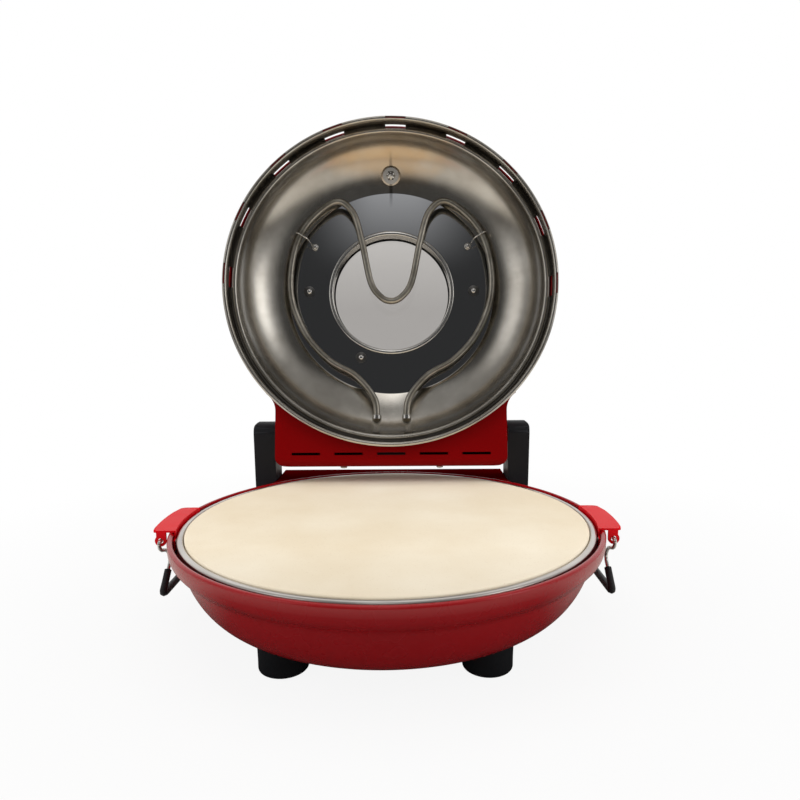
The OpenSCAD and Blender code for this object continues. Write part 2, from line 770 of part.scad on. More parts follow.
// Middle line of the dish's sheet, from the lip to the window
dish_line = concat(
    [[lid_r - dish_t / 2, lid_z + lip_h], [lid_r - dish_t / 2, lid_z + 0.7]],
    [[lid_r - 0.8, lid_z + dish_t / 2], [wall_r + 0.6, lid_z + flange_rise - 0.3]],
    [[wall_r, lid_z + flange_rise + 0.4], [wall_r - 0.5, lid_z + groove_d - 1]],
    [[wall_r - 1.3, lid_z + groove_d], [bead_r + bead_round + 0.6, lid_z + groove_d]],
    arc([bead_r, bead_z], bead_round, bead_round, 10, -180, 10),
    arc([wall_cr, wall_cz], wall_ra, wall_rb, wall_a0, wall_a1, 18),
    [[window_r + sleeve_t + seat, crown_z + dish_t / 2]]);

module lid_liner() {
    color(steel) open_lid() difference() {
        union() {
            rotate_extrude($fn = 180) polygon(sheet(dish_line, dish_t));
            at_handle() translate([0, 0, -pad_in]) cylinder(r = pad_r, h = pad_in + dish_t / 2, $fn = 48);
        }
        at_vents() {
            translate([wall_r + vent_rim, -vent_l / 2, lid_z - 1])
                cube([flange_w - dish_t - 2 * vent_rim, vent_l, flange_rise + 2]);
            translate([wall_r - 0.5 - vent_w, -vent_l / 2, lid_z + groove_d - vent_h])
                cube([vent_w + 1, vent_l, vent_h + 1]);
        }
        at_crown_screws() cylinder(r = crown_screw_r + seat, h = 20, center = true, $fn = 32);
        at_clips() cylinder(r = crown_screw_r + seat, h = 20, center = true, $fn = 32);
        at_handle() translate([0, 0, -10]) cylinder(r = handle_screw_r + hole_play, h = 20, $fn = 32);
        at_terminals() translate([0, 0, -20]) cylinder(r = collar_r + seat, h = 50, $fn = 48);
    }
}

module window_sleeve() {
    color(steel) open_lid() rotate_extrude($fn = 180)
        polygon([[window_r, crown_z - sleeve_t - seat],
            [window_r + sleeve_lip, crown_z - sleeve_t - seat],
            [window_r + sleeve_lip, crown_z - seat], [window_r + sleeve_t, crown_z - seat],
            [window_r + sleeve_t, gasket_top - seat], [window_r, gasket_top - seat]]);
}

glass_top = lid_top;
gasket_top = glass_top - glass_t - seat;

module window_gasket() {
    color(black) open_lid() rotate_extrude($fn = 180)
        translate([window_r + sleeve_t + seat, crown_z + dish_t + seat])
            square([glass_r - window_r - sleeve_t - seat, gasket_top - crown_z - dish_t - seat]);
}

module window_glass() {
    color(glass_tint, 0.5) open_lid() translate([0, 0, glass_top - glass_t])
        cylinder(r = glass_r - seat, h = glass_t, $fn = 180);
}

module window_bezel() {
    color(black) open_lid() rotate_extrude($fn = 180)
        polygon([[window_r - 1, glass_top + seat], [window_r + bezel_w, glass_top + seat],
            [window_r + bezel_w - 0.6, glass_top + bezel_h * 0.7],
            [window_r + bezel_w - 2.4, glass_top + bezel_h], [window_r + 1, glass_top + bezel_h],
            [window_r - 1, glass_top + bezel_h * 0.5]]);
}

// Upper heating element

element_z = lid_z + upper_z;
// The tube ends where the dish's wall stands at its height
terminal_end = wall_cr + wall_ra * sqrt(1 - pow((element_z - wall_cz) / wall_rb, 2)) - 2.3;
// Half of the upper element's bends, from the back end to the loop in the middle
element_half = [[terminal_x, terminal_end], [17.4, 111], [35.5, 88.7], [63, 72], [87.2, 44],
    [101, 5.5], [98.4, -37], [84.2, -68.5], [56.8, -90.3], [39, -79.6], [29.4, -48.2],
    [20.8, -7.6], [10.6, 8.1], [0, 12.6]];
element_route = spline(concat([for (p = element_half) [p[0], p[1], element_z]],
    [for (i = [len(element_half) - 2:-1:0])
        [-element_half[i][0], element_half[i][1], element_z]]), 4);

module upper_element() {
    color(steel) open_lid() tube(element_route, tube_d / 2, [0, 0, 1], 10);
}

collar_r = 4.5;
collar_l = 3.6;

module at_terminals() {
    for (x = [-terminal_x, terminal_x])
        translate([x, terminal_end + 0.4 - collar_l, element_z]) rotate([-90, 0, 0]) children();
}

module element_collars() {
    color(steel) open_lid() at_terminals() difference() {
        cylinder(r = collar_r, h = collar_l, $fn = 48);
        translate([0, 0, -1]) cylinder(r = tube_d / 2 + 0.15, h = collar_l + 2, $fn = 48);
    }
}

clip_x = 78.8;
clip_y = -47.5;
clip_turn = -32;
clip_gap = 15.5;
clip_wire_r = 0.7;

module at_clips() {
    both_sides() translate([clip_x, clip_y, crown_z]) children();
}

// One wire clip: distance out from its screw, height above the crown
clip_line = let (below = upper_z - dish_depth - tube_d / 2 - clip_wire_r - 0.25)
    spline([[3.3, -1.2], [3.9, below * 0.3], [5.4, below * 0.75], [8.6, below + 0.6],
        [clip_gap, below], [clip_gap + 4.6, below + 2.2], [clip_gap + 5.1, below + 5]], 3);

module element_clips() {
    color(steel) open_lid() at_clips() {
        rotate(clip_turn)
            tube([for (q = clip_line) [q[0], 0, q[1]]], clip_wire_r, [0, 1, 0], 6);
        translate([0, 0, -1.9]) difference() {
            cylinder(r = 3.5, h = 1.7, $fn = 32);
            translate([0, 0, -1]) cylinder(r = crown_screw_r + 0.05, h = 4, $fn = 32);
        }
    }
}

crown_screw_r = 1.9;

module clip_screws() {
    color(steel) open_lid() at_clips() translate([0, 0, -2 - seat]) rotate([180, 0, 0])
        screw(2.5, 1.8, crown_screw_r - 0.05, dish_t + 4.5);
}

crown_spots = [[-84.5, -1], [84.5, -1], [-31.3, 67.7]];

module at_crown_screws() {
    for (p = crown_spots) translate([p[0], p[1], crown_z]) children();
}

module crown_screws() {
    color(steel) open_lid() at_crown_screws() {
        translate([0, 0, -0.9]) rotate([180, 0, 0]) screw(2.6, 1.9, crown_screw_r, 4.8);
        translate([0, 0, -0.9]) difference() {
            cylinder(r = 5.6, h = 0.8, $fn = 48);
            translate([0, 0, -1]) cylinder(r = crown_screw_r - eps, h = 4, $fn = 32);
        }
    }
}

module crown_spacers() {
    color(steel) open_lid() at_crown_screws() translate([0, 0, dish_t + seat / 2]) difference() {
        cylinder(r = 5, h = lid_top - shell_t - crown_z - dish_t - seat, $fn = 48);
        translate([0, 0, -1]) cylinder(r = crown_screw_r + run_play, h = 12, $fn = 32);
    }
}

// Lid handle

handle_r = crown_r + 16;
// Distance from the dish's wall to the handle's foot, along the screw
handle_out = 0.7 * (lid_h - dish_depth);
handle_screw_r = 2.5;
washer_t = 1.4;
// Angle around the wall's ellipse where the handle is fixed, and the wall's slope there
handle_a = acos((handle_r - wall_cr) / wall_ra);
handle_lean = atan(wall_rb * cos(handle_a) / (wall_ra * sin(handle_a)));

// Puts a piece on the handle screw's axis, from the dish's wall outwards
module at_handle() {
    translate([0, -handle_r, wall_cz + wall_rb * sin(handle_a)]) rotate([handle_lean, 0, 0])
        children();
}

module lid_handle() {
    color(black) open_lid() difference() {
        at_handle() {
            translate([0, 0, handle_out]) cylinder(r = 14, h = 8, $fn = 72);
            translate([0, 0, handle_out + 6]) cylinder(r = 9, h = bar_reach - 8, $fn = 72);
            translate([0, 0, handle_out + bar_reach]) {
                translate([-bar_l / 2 + bar_d / 2, 0, 0]) rotate([0, 90, 0])
                    cylinder(d = bar_d, h = bar_l - bar_d, $fn = 72);
                for (s = [-1, 1]) translate([s * (bar_l - bar_d) / 2, 0, 0])
                    sphere(d = bar_d, $fn = 72);
            }
        }
        shell_space(seat);
        at_handle() cylinder(r = handle_screw_r + run_play, h = handle_out + bar_reach - 10, $fn = 48);
    }
}

module handle_screw() {
    color(steel) open_lid() at_handle() translate([0, 0, -pad_in - 2 * seat - washer_t]) {
        cylinder(r = handle_screw_r, h = handle_out + bar_reach - 10, $fn = 48);
        rotate([180, 0, 0]) cylinder(r = 4.8, h = 3.6, $fn = 6);
        rotate([180, 0, 0]) translate([0, 0, 3.5]) cylinder(r = 2.4, h = 1.6, $fn = 48);
    }
}

module handle_washer() {
    color(steel) open_lid() at_handle() translate([0, 0, -pad_in - seat - washer_t]) difference() {
        cylinder(r = 8, h = washer_t, $fn = 64);
        translate([0, 0, -1]) cylinder(r = handle_screw_r + run_play, h = 4, $fn = 48);
    }
}

// Box at the back of the lid

box_round = 7;
box_corner = 9;
// Where the box's sides begin to widen towards the lid, and by what angle they turn
flare_y = hinge_y - 20;
flare_r = 20;
flare_a = 56;
boss_l = 10;
boss_r = pin_r + 4;
box_slot_l = 27;
box_slot_w = 2.5;
box_slot_y = 13;

// The box's outside, drawn in by i
module box_form(i) {
    intersection() {
        translate([0, 0, box_floor - 10]) linear_extrude(90)
            polygon(concat(
                arc([box_half - box_corner, box_rear - box_corner],
                    box_corner - i, box_corner - i, 90, 0, 6),
                arc([box_half + flare_r, flare_y], flare_r + i, flare_r + i, 180, 180 + flare_a, 8),
                [[box_half + 8 - i, flare_y - 40], [-box_half - 8 + i, flare_y - 40]],
                arc([-box_half - flare_r, flare_y], flare_r + i, flare_r + i, -flare_a, 0, 8),
                arc([-box_half + box_corner, box_rear - box_corner],
                    box_corner - i, box_corner - i, 180, 90, 6)));
        translate([-200, 0, 0]) rotate([90, 0, 90]) linear_extrude(400)
            polygon(concat([[60, box_floor + i]],
                arc([box_rear - box_round, box_floor + box_round],
                    box_round - i, box_round - i, -90, 0, 6),
                arc([box_rear - box_corner, box_top - box_corner],
                    box_corner - i, box_corner - i, 0, 90, 6),
                [[60, box_top - i]]));
    }
}

module lid_box() {
    color(red) open_lid() difference() {
        box_form(0);
        difference() {
            box_form(case_t);
            both_sides() translate([box_half - boss_l, hinge_y, hinge_z]) rotate([0, 90, 0])
                cylinder(r = boss_r, h = boss_l, $fn = 64);
        }
        shell_space(seat);
        both_sides() translate([box_half - boss_l - 1, hinge_y, hinge_z]) rotate([0, 90, 0])
            cylinder(r = pin_r + run_play, h = boss_l + 3, $fn = 64);
        for (i = [-2:2])
            translate([(i * 1.5 - 0.5) * box_slot_l, box_rear - box_slot_y, box_floor - 1])
                cube([box_slot_l, box_slot_w, case_t + 2]);
        translate([knob_x, knob_y, box_top - case_t - 1])
            cylinder(r = shaft_r + 2 * hole_play, h = case_t + 2, $fn = 48);
        translate([-knob_x, knob_y, box_top - case_t - 1])
            cylinder(r = lamp_r + seat, h = case_t + 2, $fn = 48);
        at_box_screws() translate([0, 0, -6]) cylinder(r = box_screw_r + seat, h = 8, $fn = 32);
    }
}

box_screw_r = 1.6;
box_screw_x = 47;

module at_box_screws() {
    both_sides() translate([box_screw_x, box_rear, hinge_z - 8]) rotate([-90, 0, 0]) children();
}

module box_screws() {
    color(steel) open_lid() at_box_screws() translate([0, 0, seat / 2]) screw(3.2, 1.8, box_screw_r, 7);
}

knob_x = 78;
knob_y = hinge_y + 8;
shaft_r = 3;
shaft_l = 9;
drum_h = 16;
lamp_r = 4.2;
knob_h = 14;

module thermostat() {
    color(black) open_lid() translate([knob_x, knob_y, box_top - case_t]) {
        translate([0, 0, -drum_h - seat]) cylinder(r = 13, h = drum_h, $fn = 64);
        translate([0, 0, -seat - eps]) cylinder(r = shaft_r, h = case_t + shaft_l, $fn = 48);
        translate([0, 0, -drum_h - 7]) for (x = [-6, 6]) translate([x - 0.4, -3, 0]) cube([0.8, 6, 8]);
    }
}

module thermostat_knob() {
    color(black) open_lid() translate([knob_x, knob_y, box_top + 0.4]) difference() {
        union() {
            rotate_extrude($fn = 96)
                polygon([[0, 0], [knob_d / 2, 0], [knob_d / 2, 3], [knob_d / 2 - 2.5, 4.5],
                    [knob_d / 2 - 4, knob_h - 1], [knob_d / 2 - 5, knob_h], [0, knob_h]]);
            translate([-2, -knob_d / 2 + 1.2, 4]) cube([4, knob_d - 2.4, knob_h - 2.6]);
        }
        translate([0, 0, -1]) cylinder(r = shaft_r + run_play, h = shaft_l + 0.6, $fn = 48);
    }
}

module pilot_lamp() {
    color("#ff9a50") open_lid() translate([-knob_x, knob_y, box_top]) {
        translate([0, 0, -12]) cylinder(r = lamp_r, h = 12 + seat, $fn = 48);
        translate([0, 0, seat / 2]) rotate_extrude($fn = 48)
            polygon(concat([[0, 0], [lamp_r + 1.4, 0]], arc([0, 0.8], lamp_r + 1.4, 2.6, 0, 90, 6)));
    }
}

module lid_terminal() {
    color(cream) open_lid()
        translate([0, box_rear - case_t - seat - 13, box_floor + box_round + 1])
            terminal_block(36, 11, 2.4, 13);
}

base_bowl();
base_liner();
baking_stone();
lower_element();
lower_element_clips();
thermal_cutout();
pan_posts();
pan_screws();
foot_front_left();
foot_front_right();
foot_rear_left();
foot_rear_right();
foot_screws();
rear_housing();
rear_cover();
cord_gland();
mains_terminal();
hinge_bracket_left();
hinge_bracket_right();
bracket_screws();
hinge_pin_left();
hinge_pin_right();
hinge_washers();
handle_plate_left();
handle_plate_right();
handle_rivets();
bail_wire_left();
bail_wire_right();
bail_grip_left();
bail_grip_right();
lid_shell();
lid_liner();
window_sleeve();
window_gasket();
window_glass();
window_bezel();
upper_element();
element_collars();
element_clips();
clip_screws();
crown_screws();
crown_spacers();
lid_handle();
handle_screw();
handle_washer();
lid_box();
box_screws();
thermostat();
thermostat_knob();
pilot_lamp();
lid_terminal();
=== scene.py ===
# %% [markdown]
# # An electric pizza maker
#
# A red sheet-metal bowl holds a round baking stone. A domed lid with a heating tube and a
# window stands open behind it. The shapes that carry and move come from the part itself.
# This lesson gives them their surfaces, one piece at a time.
#
# The part is loaded first. It is already in metres and in its place.

# %% Load the part
import json
import bmesh
import bpy
import numpy as np
from mathutils import Matrix

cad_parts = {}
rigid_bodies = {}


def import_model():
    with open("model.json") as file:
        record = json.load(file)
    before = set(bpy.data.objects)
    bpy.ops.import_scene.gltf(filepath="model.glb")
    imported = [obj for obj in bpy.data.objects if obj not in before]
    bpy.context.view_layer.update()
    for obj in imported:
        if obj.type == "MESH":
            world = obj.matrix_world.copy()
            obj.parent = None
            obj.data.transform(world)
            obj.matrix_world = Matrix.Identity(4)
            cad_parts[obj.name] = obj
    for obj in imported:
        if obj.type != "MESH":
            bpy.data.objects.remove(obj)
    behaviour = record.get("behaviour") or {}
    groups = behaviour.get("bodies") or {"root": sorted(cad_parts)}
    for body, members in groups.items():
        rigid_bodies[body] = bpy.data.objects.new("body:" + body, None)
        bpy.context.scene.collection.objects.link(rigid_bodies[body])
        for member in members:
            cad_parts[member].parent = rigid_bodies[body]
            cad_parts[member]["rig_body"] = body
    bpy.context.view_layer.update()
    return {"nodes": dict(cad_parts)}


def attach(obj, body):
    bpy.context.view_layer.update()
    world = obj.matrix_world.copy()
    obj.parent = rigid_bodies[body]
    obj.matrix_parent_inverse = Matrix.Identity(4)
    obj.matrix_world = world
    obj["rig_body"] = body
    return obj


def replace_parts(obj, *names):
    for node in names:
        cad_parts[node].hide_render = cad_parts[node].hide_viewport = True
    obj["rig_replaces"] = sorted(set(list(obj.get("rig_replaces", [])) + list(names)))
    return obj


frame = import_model()
nodes = frame["nodes"]

# %% [markdown]
# ## The camera
#
# The camera stands in front, a little above the stone, and looks down by nine degrees. Its
# axes are worked out from three angles, and the matrix is filled with them. A small shift
# keeps the optical centre off the middle of the picture, as in the photograph.

# %% Place the camera
eye = np.array([0.015, -0.498, 0.225])
turn, tilt, roll = -0.001, 0.153, -0.006
picture_width, focal_pixels, optical_centre = 800, 655.2, (406.2, 425.0)

ahead = np.array([np.sin(turn) * np.cos(tilt), np.cos(turn) * np.cos(tilt), -np.sin(tilt)])
side = np.array([np.cos(turn), -np.sin(turn), 0.0])
over = np.cross(side, ahead)
right = side * np.cos(roll) + over * np.sin(roll)
up = over * np.cos(roll) - side * np.sin(roll)

lens_data = bpy.data.cameras.new("camera")
camera = bpy.data.objects.new("camera", lens_data)
bpy.context.scene.collection.objects.link(camera)
place = Matrix.Identity(4)
for column, axis in enumerate((right, up, -ahead, eye)):
    for row in range(3):
        place[row][column] = float(axis[row])
camera.matrix_world = place
lens_data.sensor_width = 36.0
lens_data.lens = lens_data.sensor_width * focal_pixels / picture_width
lens_data.shift_x = 0.5 - optical_centre[0] / picture_width
lens_data.shift_y = optical_centre[1] / picture_width - 0.5
lens_data.clip_start, lens_data.clip_end = 0.01, 50.0
bpy.context.scene.camera = camera
print("camera:", np.round(eye, 3), "lens:", round(lens_data.lens, 2), "mm")

# %% [markdown]
# ## Shapes from arrays
#
# Most pieces of a pressed and spun product are round. They could be made with Blender's Screw
# modifier, but then every point is placed by hand. Here a round piece is a profile, a line of
# points given by radius and height, carried around an axis. The points make a grid, so each
# face takes four neighbours in it, and numpy finds them all at once.

# %% Make a mesh from a grid of points
def grid_faces(rows, cols, wrap_rows, wrap_cols):
    """Four-cornered faces between neighbours in a grid of rows by cols points."""
    i, j = np.meshgrid(np.arange(rows if wrap_rows else rows - 1),
                       np.arange(cols if wrap_cols else cols - 1), indexing="ij")
    n, m = (i + 1) % rows, (j + 1) % cols
    return np.stack([i * cols + j, i * cols + m, n * cols + m, n * cols + j], -1).reshape(-1, 4)


def tidy_mesh(mesh, crease, recalc=True):
    """Merges points that coincide, turns faces outwards and marks edges sharper than crease."""
    work = bmesh.new()
    work.from_mesh(mesh)
    bmesh.ops.remove_doubles(work, verts=work.verts, dist=2e-6)
    bmesh.ops.dissolve_degenerate(work, edges=work.edges, dist=1e-7)
    if recalc:
        bmesh.ops.recalc_face_normals(work, faces=work.faces)
    work.to_mesh(mesh)
    work.free()
    mesh.polygons.foreach_set("use_smooth", np.ones(len(mesh.polygons), bool))
    mesh.set_sharp_from_angle(angle=np.radians(crease))


def make_object(name, points, faces, crease=35):
    """Puts points (n, 3) in metres and faces (m, 4) into a closed, outward facing object."""
    mesh = bpy.data.meshes.new(name)
    mesh.vertices.add(len(points))
    mesh.vertices.foreach_set("co", np.asarray(points, np.float32).ravel())
    mesh.loops.add(faces.size)
    mesh.loops.foreach_set("vertex_index", faces.astype(np.int32).ravel())
    mesh.polygons.add(len(faces))
    mesh.polygons.foreach_set("loop_start", np.arange(0, faces.size, 4, dtype=np.int32))
    mesh.update(calc_edges=True)
    mesh.validate()
    tidy_mesh(mesh, crease)
    made = bpy.data.objects.new(name, mesh)
    bpy.context.scene.collection.objects.link(made)
    return made


print("faces in a closed strip of 2 by 8 points:", len(grid_faces(2, 8, False, True)))

# %% [markdown]
# A sheet-metal piece is drawn by the middle of its sheet, as a press tool is. Each point of
# that line moves by half the thickness to either side, along the mean of its two neighbours'
# normals. The sheet then keeps its thickness around every bend, which scaling can't do.

# %% Profiles: arcs, domes and sheets
def arc(centre, radii, start, end, steps):
    """Points of an ellipse's arc: centre plus radii times the cosine and sine of the angle."""
    a = np.radians(np.linspace(start, end, steps))
    return np.stack([centre[0] + radii[0] * np.cos(a), centre[1] + radii[1] * np.sin(a)], -1)


def bend(centre, radius, start, end, steps):
    """Arc of a circle, for the rounded edges and rolled lips."""
    return arc(centre, (radius, radius), start, end, steps)


def dome(low, high, bulge, steps):
    """Wall from low to high (radius, height): a quarter of an ellipse raised to 2 / bulge."""
    a = np.radians(np.linspace(0, 90, steps))
    return np.stack([high[0] + (low[0] - high[0]) * np.cos(a) ** (2 / bulge),
                     low[1] + (high[1] - low[1]) * np.sin(a) ** (2 / bulge)], -1)


def sheet(line, thickness):
    """Closed outline of a sheet: the middle line moved half a thickness to each side."""
    line = np.asarray(line, float)
    step = np.diff(line, axis=0)
    step /= np.linalg.norm(step, axis=1)[:, None]
    normal = np.stack([-step[:, 1], step[:, 0]], -1)
    before, after = np.vstack([normal[:1], normal]), np.vstack([normal, normal[-1:]])
    mean = before + after
    mean /= np.linalg.norm(mean, axis=1)[:, None]
    mean /= np.maximum((mean * before).sum(1), 0.35)[:, None]
    return np.vstack([line + mean * thickness / 2, (line - mean * thickness / 2)[::-1]])


def spin(name, profile, steps, crease=35):
    """Carries a closed profile (radius, height) in millimetres around the z axis."""
    turn_by = np.linspace(0, 2 * np.pi, steps, endpoint=False)
    r, z = np.asarray(profile, float).T
    points = np.stack([r[:, None] * np.cos(turn_by), r[:, None] * np.sin(turn_by),
                       np.repeat(z[:, None], steps, 1)], -1)
    faces = grid_faces(len(r), steps, True, True)
    return make_object(name, points.reshape(-1, 3) / 1000, faces, crease)


print("quarter of a circle:", np.round(bend((0, 0), 1, 0, 90, 3), 2).tolist())

# %% [markdown]
# A heating tube is a circle carried along a path. A few points are given, and a Catmull-Rom
# curve, which passes through every one of them, makes the smooth path.

# %% Tubes along a path
def curve_through(points, steps):
    """Catmull-Rom curve through the points, with steps pieces from each to the next."""
    p = np.asarray(points, float)
    p = np.vstack([p[:1], p, p[-1:]])
    t = np.linspace(0, 1, steps, endpoint=False)[None, :, None]
    a, b, c, d = (p[k:len(p) - 3 + k][:, None, :] for k in range(4))
    out = 0.5 * (2 * b + (c - a) * t + (2 * a - 5 * b + 4 * c - d) * t ** 2
                 + (3 * b - a - 3 * c + d) * t ** 3)
    return np.vstack([out.reshape(-1, p.shape[1]), p[-1:]])


def tube(name, path, radius, sides):
    """Circle carried along a level path: across the path times cosine, plus up times sine."""
    upward = np.array([0.0, 0.0, 1.0])
    along = np.gradient(path, axis=0)
    along /= np.linalg.norm(along, axis=1)[:, None]
    across = np.cross(along, upward)
    around = np.linspace(0, 2 * np.pi, sides, endpoint=False)
    circle = (np.cos(around)[None, :, None] * across[:, None, :]
              + np.sin(around)[None, :, None] * upward)
    ends = [np.repeat(path[[k], None], sides, 1) for k in (0, -1)]
    closed = np.concatenate([ends[0], path[:, None, :] + radius * circle, ends[1]])
    faces = grid_faces(len(closed), sides, False, True)
    return make_object(name, closed.reshape(-1, 3) / 1000, faces, 50)


print("curve through 3 points:", len(curve_through([[0, 0], [1, 1], [2, 0]], 6)), "points")

# %% [markdown]
# The lid stands open, but a spun shape is easiest around an upright axis. So the lid is
# worked out closed and then turned open about its hinge. One rule moves every point of a
# mesh, and the object itself stays at the origin.

# %% Turn the lid open
hinge_y, hinge_z, open_angle = 146.0, 117.5, np.radians(102.7)


def opened(points):
    """Turns closed points (n, 3) in millimetres by the open angle about the hinge."""
    y, z = points[:, 1] - hinge_y, points[:, 2] - hinge_z
    return np.stack([points[:, 0], hinge_y + y * np.cos(open_angle) + z * np.sin(open_angle),
                     hinge_z - y * np.sin(open_angle) + z * np.cos(open_angle)], -1)


def move_points(made, rule):
    """Gives an object's mesh the points rule(points), both in millimetres."""
    co = np.zeros(len(made.data.vertices) * 3, np.float32)
    made.data.vertices.foreach_get("co", co)
    moved = rule(co.reshape(-1, 3).astype(float) * 1000) / 1000
    made.data.vertices.foreach_set("co", moved.astype(np.float32).ravel())
    made.data.update()
    return made


print("closed (0, 0, 100) opens to", np.round(opened(np.array([[0.0, 0.0, 100.0]]))[0], 1))

# %% [markdown]
# ## Paint kit
#
# A finish is a small network of nodes. Written out node by node it is hard to read, so a
# socket is wrapped in a class whose plus, minus and times add the right Math node. A mask
# such as the edge of a stain is then one line: a rise, or a hill between two slopes.

# %% Sums of sockets
class Value:
    """A socket of a node tree that can be used in ordinary sums."""

    def __init__(self, kit, socket):
        self.kit, self.socket = kit, socket

    def maths(self, operation, *others):
        return self.kit.maths(operation, self, *others)

    def __add__(self, other):
        return self.maths("ADD", other)

    def __sub__(self, other):
        return self.maths("SUBTRACT", other)

    def __rsub__(self, other):
        return self.kit.maths("SUBTRACT", other, self)

    def __mul__(self, other):
        return self.maths("MULTIPLY", other)

    def __truediv__(self, other):
        return self.maths("DIVIDE", other)

    def __pow__(self, other):
        return self.maths("POWER", other)

    __radd__, __rmul__ = __add__, __mul__

    def clamp(self):
        return self.maths("MAXIMUM", 0.0).maths("MINIMUM", 1.0)

    def rise(self, start, end):
        """Grows evenly from 0 where the value is start to 1 where it is end."""
        return ((self - start) / (end - start)).clamp()

    def hill(self, centre, flat, slope):
        """1 within flat of the centre, and down to 0 over the slope on either side."""
        return 1.0 - (self - centre).maths("ABSOLUTE").rise(flat, flat + slope)


def length_of(x, y):
    """Distance from the middle: the root of the sum of the squares."""
    return (x * x + y * y) ** 0.5


print("sums:", [name for name in vars(Value) if not name.startswith("__")])

# %% [markdown]
# One method adds every other node: its settings first, then what goes into its sockets. The
# surroundings need it as much as the materials do, so it belongs to any node tree.

# %% A node tree
class Nodes:
    """A node tree, with one method to add a node and short names for the usual ones."""

    def __init__(self, tree):
        self.tree = tree

    def add(self, kind, settings, inputs, output=0):
        """Adds a node, sets it, fills its sockets, and gives the output that is asked for."""
        node = self.tree.nodes.new(kind)
        for key, value in settings.items():
            if key == "stops":
                self.set_stops(node.color_ramp, value)
            else:
                setattr(node, key, value)
        for key, value in inputs.items():
            self.fill(node.inputs[key], value)
        return Value(self, node.outputs[output])

    def fill(self, socket, value):
        """Links a value to a socket, or writes a number or a colour into it."""
        if isinstance(value, Value):
            self.tree.links.new(value.socket, socket)
        elif socket.type == "RGBA" and len(value) == 3:
            socket.default_value = (*value, 1.0)
        else:
            socket.default_value = value

    def set_stops(self, colour_ramp, stops):
        """Gives a ramp its stops, each a position and a colour."""
        while len(colour_ramp.elements) < len(stops):
            colour_ramp.elements.new(0.5)
        for element, (at, colour) in zip(colour_ramp.elements, stops):
            element.position, element.color = at, (*colour, 1.0)

    def maths(self, operation, *values):
        """A Math node over one to three values or numbers."""
        return self.add("ShaderNodeMath", {"operation": operation}, dict(enumerate(values)))

    def first_of(self, kind):
        """The node of a kind that every new tree already has."""
        return next(node for node in self.tree.nodes if node.type == kind)

    def ramp(self, value, *stops):
        """Colour read from stops (position, colour) at the value."""
        return self.add("ShaderNodeValToRGB", {"stops": stops}, {0: value})

    def mix(self, factor, first, second):
        """Colour that goes from first to second as the factor goes from 0 to 1."""
        node = {"data_type": "RGBA"}
        return self.add("ShaderNodeMix", node, {0: factor, 6: first, 7: second}, 2)

    def parts(self, vector):
        """The x, y and z of a vector."""
        made = self.add("ShaderNodeSeparateXYZ", {}, {0: vector})
        return [Value(self, out) for out in made.socket.node.outputs]

    def ray_is(self, kind):
        """1 for rays of a kind, such as Camera or Glossy, and 0 for the others."""
        return self.add("ShaderNodeLightPath", {}, {}, f"Is {kind} Ray")


print("short names:", [name for name in vars(Nodes) if not name.startswith("__")])

# %% [markdown]
# A material is a node tree with a principled surface. Its patterns read the coordinates of
# the object, so they stay on the piece when it moves. What is the same all over is set on
# the surface by name, and only what changes from place to place is fed by nodes.

# %% A material
class Paint(Nodes):
    """One material: a principled surface, and the nodes that feed it."""

    def __init__(self, name, colour, roughness, metallic=0.0, **sockets):
        self.material = bpy.data.materials.new(name)
        self.material.use_nodes = True
        super().__init__(self.material.node_tree)
        self.surface = self.first_of("BSDF_PRINCIPLED")
        self.feed("Base Color", colour)
        self.feed("Roughness", roughness)
        self.feed("Metallic", metallic)
        for socket, value in sockets.items():
            self.feed(socket.replace("_", " "), value)
        self.where = self.add("ShaderNodeTexCoord", {}, {}, "Object")
        self.material.diffuse_color = (*colour, 1.0)

    def feed(self, name, value):
        """Puts a value, a number or a colour into a socket of the surface."""
        self.fill(self.surface.inputs[name], value)

    def noise(self, scale, detail=2.0, rough=0.5, at=None):
        """Soft noise about 0.5, with so many lumps to the metre."""
        return self.add("ShaderNodeTexNoise", {}, {"Vector": at or self.where, "Scale": scale,
                                                   "Detail": detail, "Roughness": rough})

    def bump(self, height, strength, distance):
        """Tilts the surface's normal by a height that changes over it."""
        self.feed("Normal", self.add("ShaderNodeBump", {}, {
            "Height": height, "Strength": strength, "Distance": distance}))

    def place(self, centre, turned):
        """Object coordinates counted from a centre, and turned back by an angle."""
        return self.add("ShaderNodeMapping", {"vector_type": "TEXTURE"},
                        {"Vector": self.where, "Location": centre, "Rotation": turned})


def srgb(red, green, blue):
    """A colour read as 0 to 255 on a screen, as the linear values that a shader takes."""
    c = np.array([red, green, blue]) / 255
    linear = np.where(c <= 0.04045, c / 12.92, ((c + 0.055) / 1.055) ** 2.4)
    return tuple(float(v) for v in linear)


print("middle grey in linear values:", np.round(srgb(128, 128, 128), 3))

# %% [markdown]
# ## Red enamel
#
# The bowl, the lid's box and the handles are sheet steel under a glossy red coat. Sprayed
# paint is never quite flat. A faint, wide ripple in the normal bends long reflections the
# way real paint does, and a clear coat gives the sharp gloss over the softer colour. The
# five reds are lit and shaded copies of one paint: the handles' lighter red is painted
# light, and the darker reds of the lid's box and the rear housing are painted shade.

# %% Red finishes
def enamel(name, colour, roughness, coat, shine=0.5):
    """Sprayed enamel: colour, a slight cloudiness and the ripple called orange peel."""
    paint = Paint(name, colour, roughness, Coat_Weight=coat, Coat_Roughness=0.09,
                  Specular_IOR_Level=shine)
    darker = tuple(c * 0.86 for c in colour)
    paint.feed("Base Color", paint.mix(paint.noise(14.0, 3.0), darker, colour))
    paint.feed("Roughness", roughness - 0.05 + 0.1 * paint.noise(60.0))
    paint.bump(paint.noise(420.0), 0.05, 0.0004)
    return paint.material


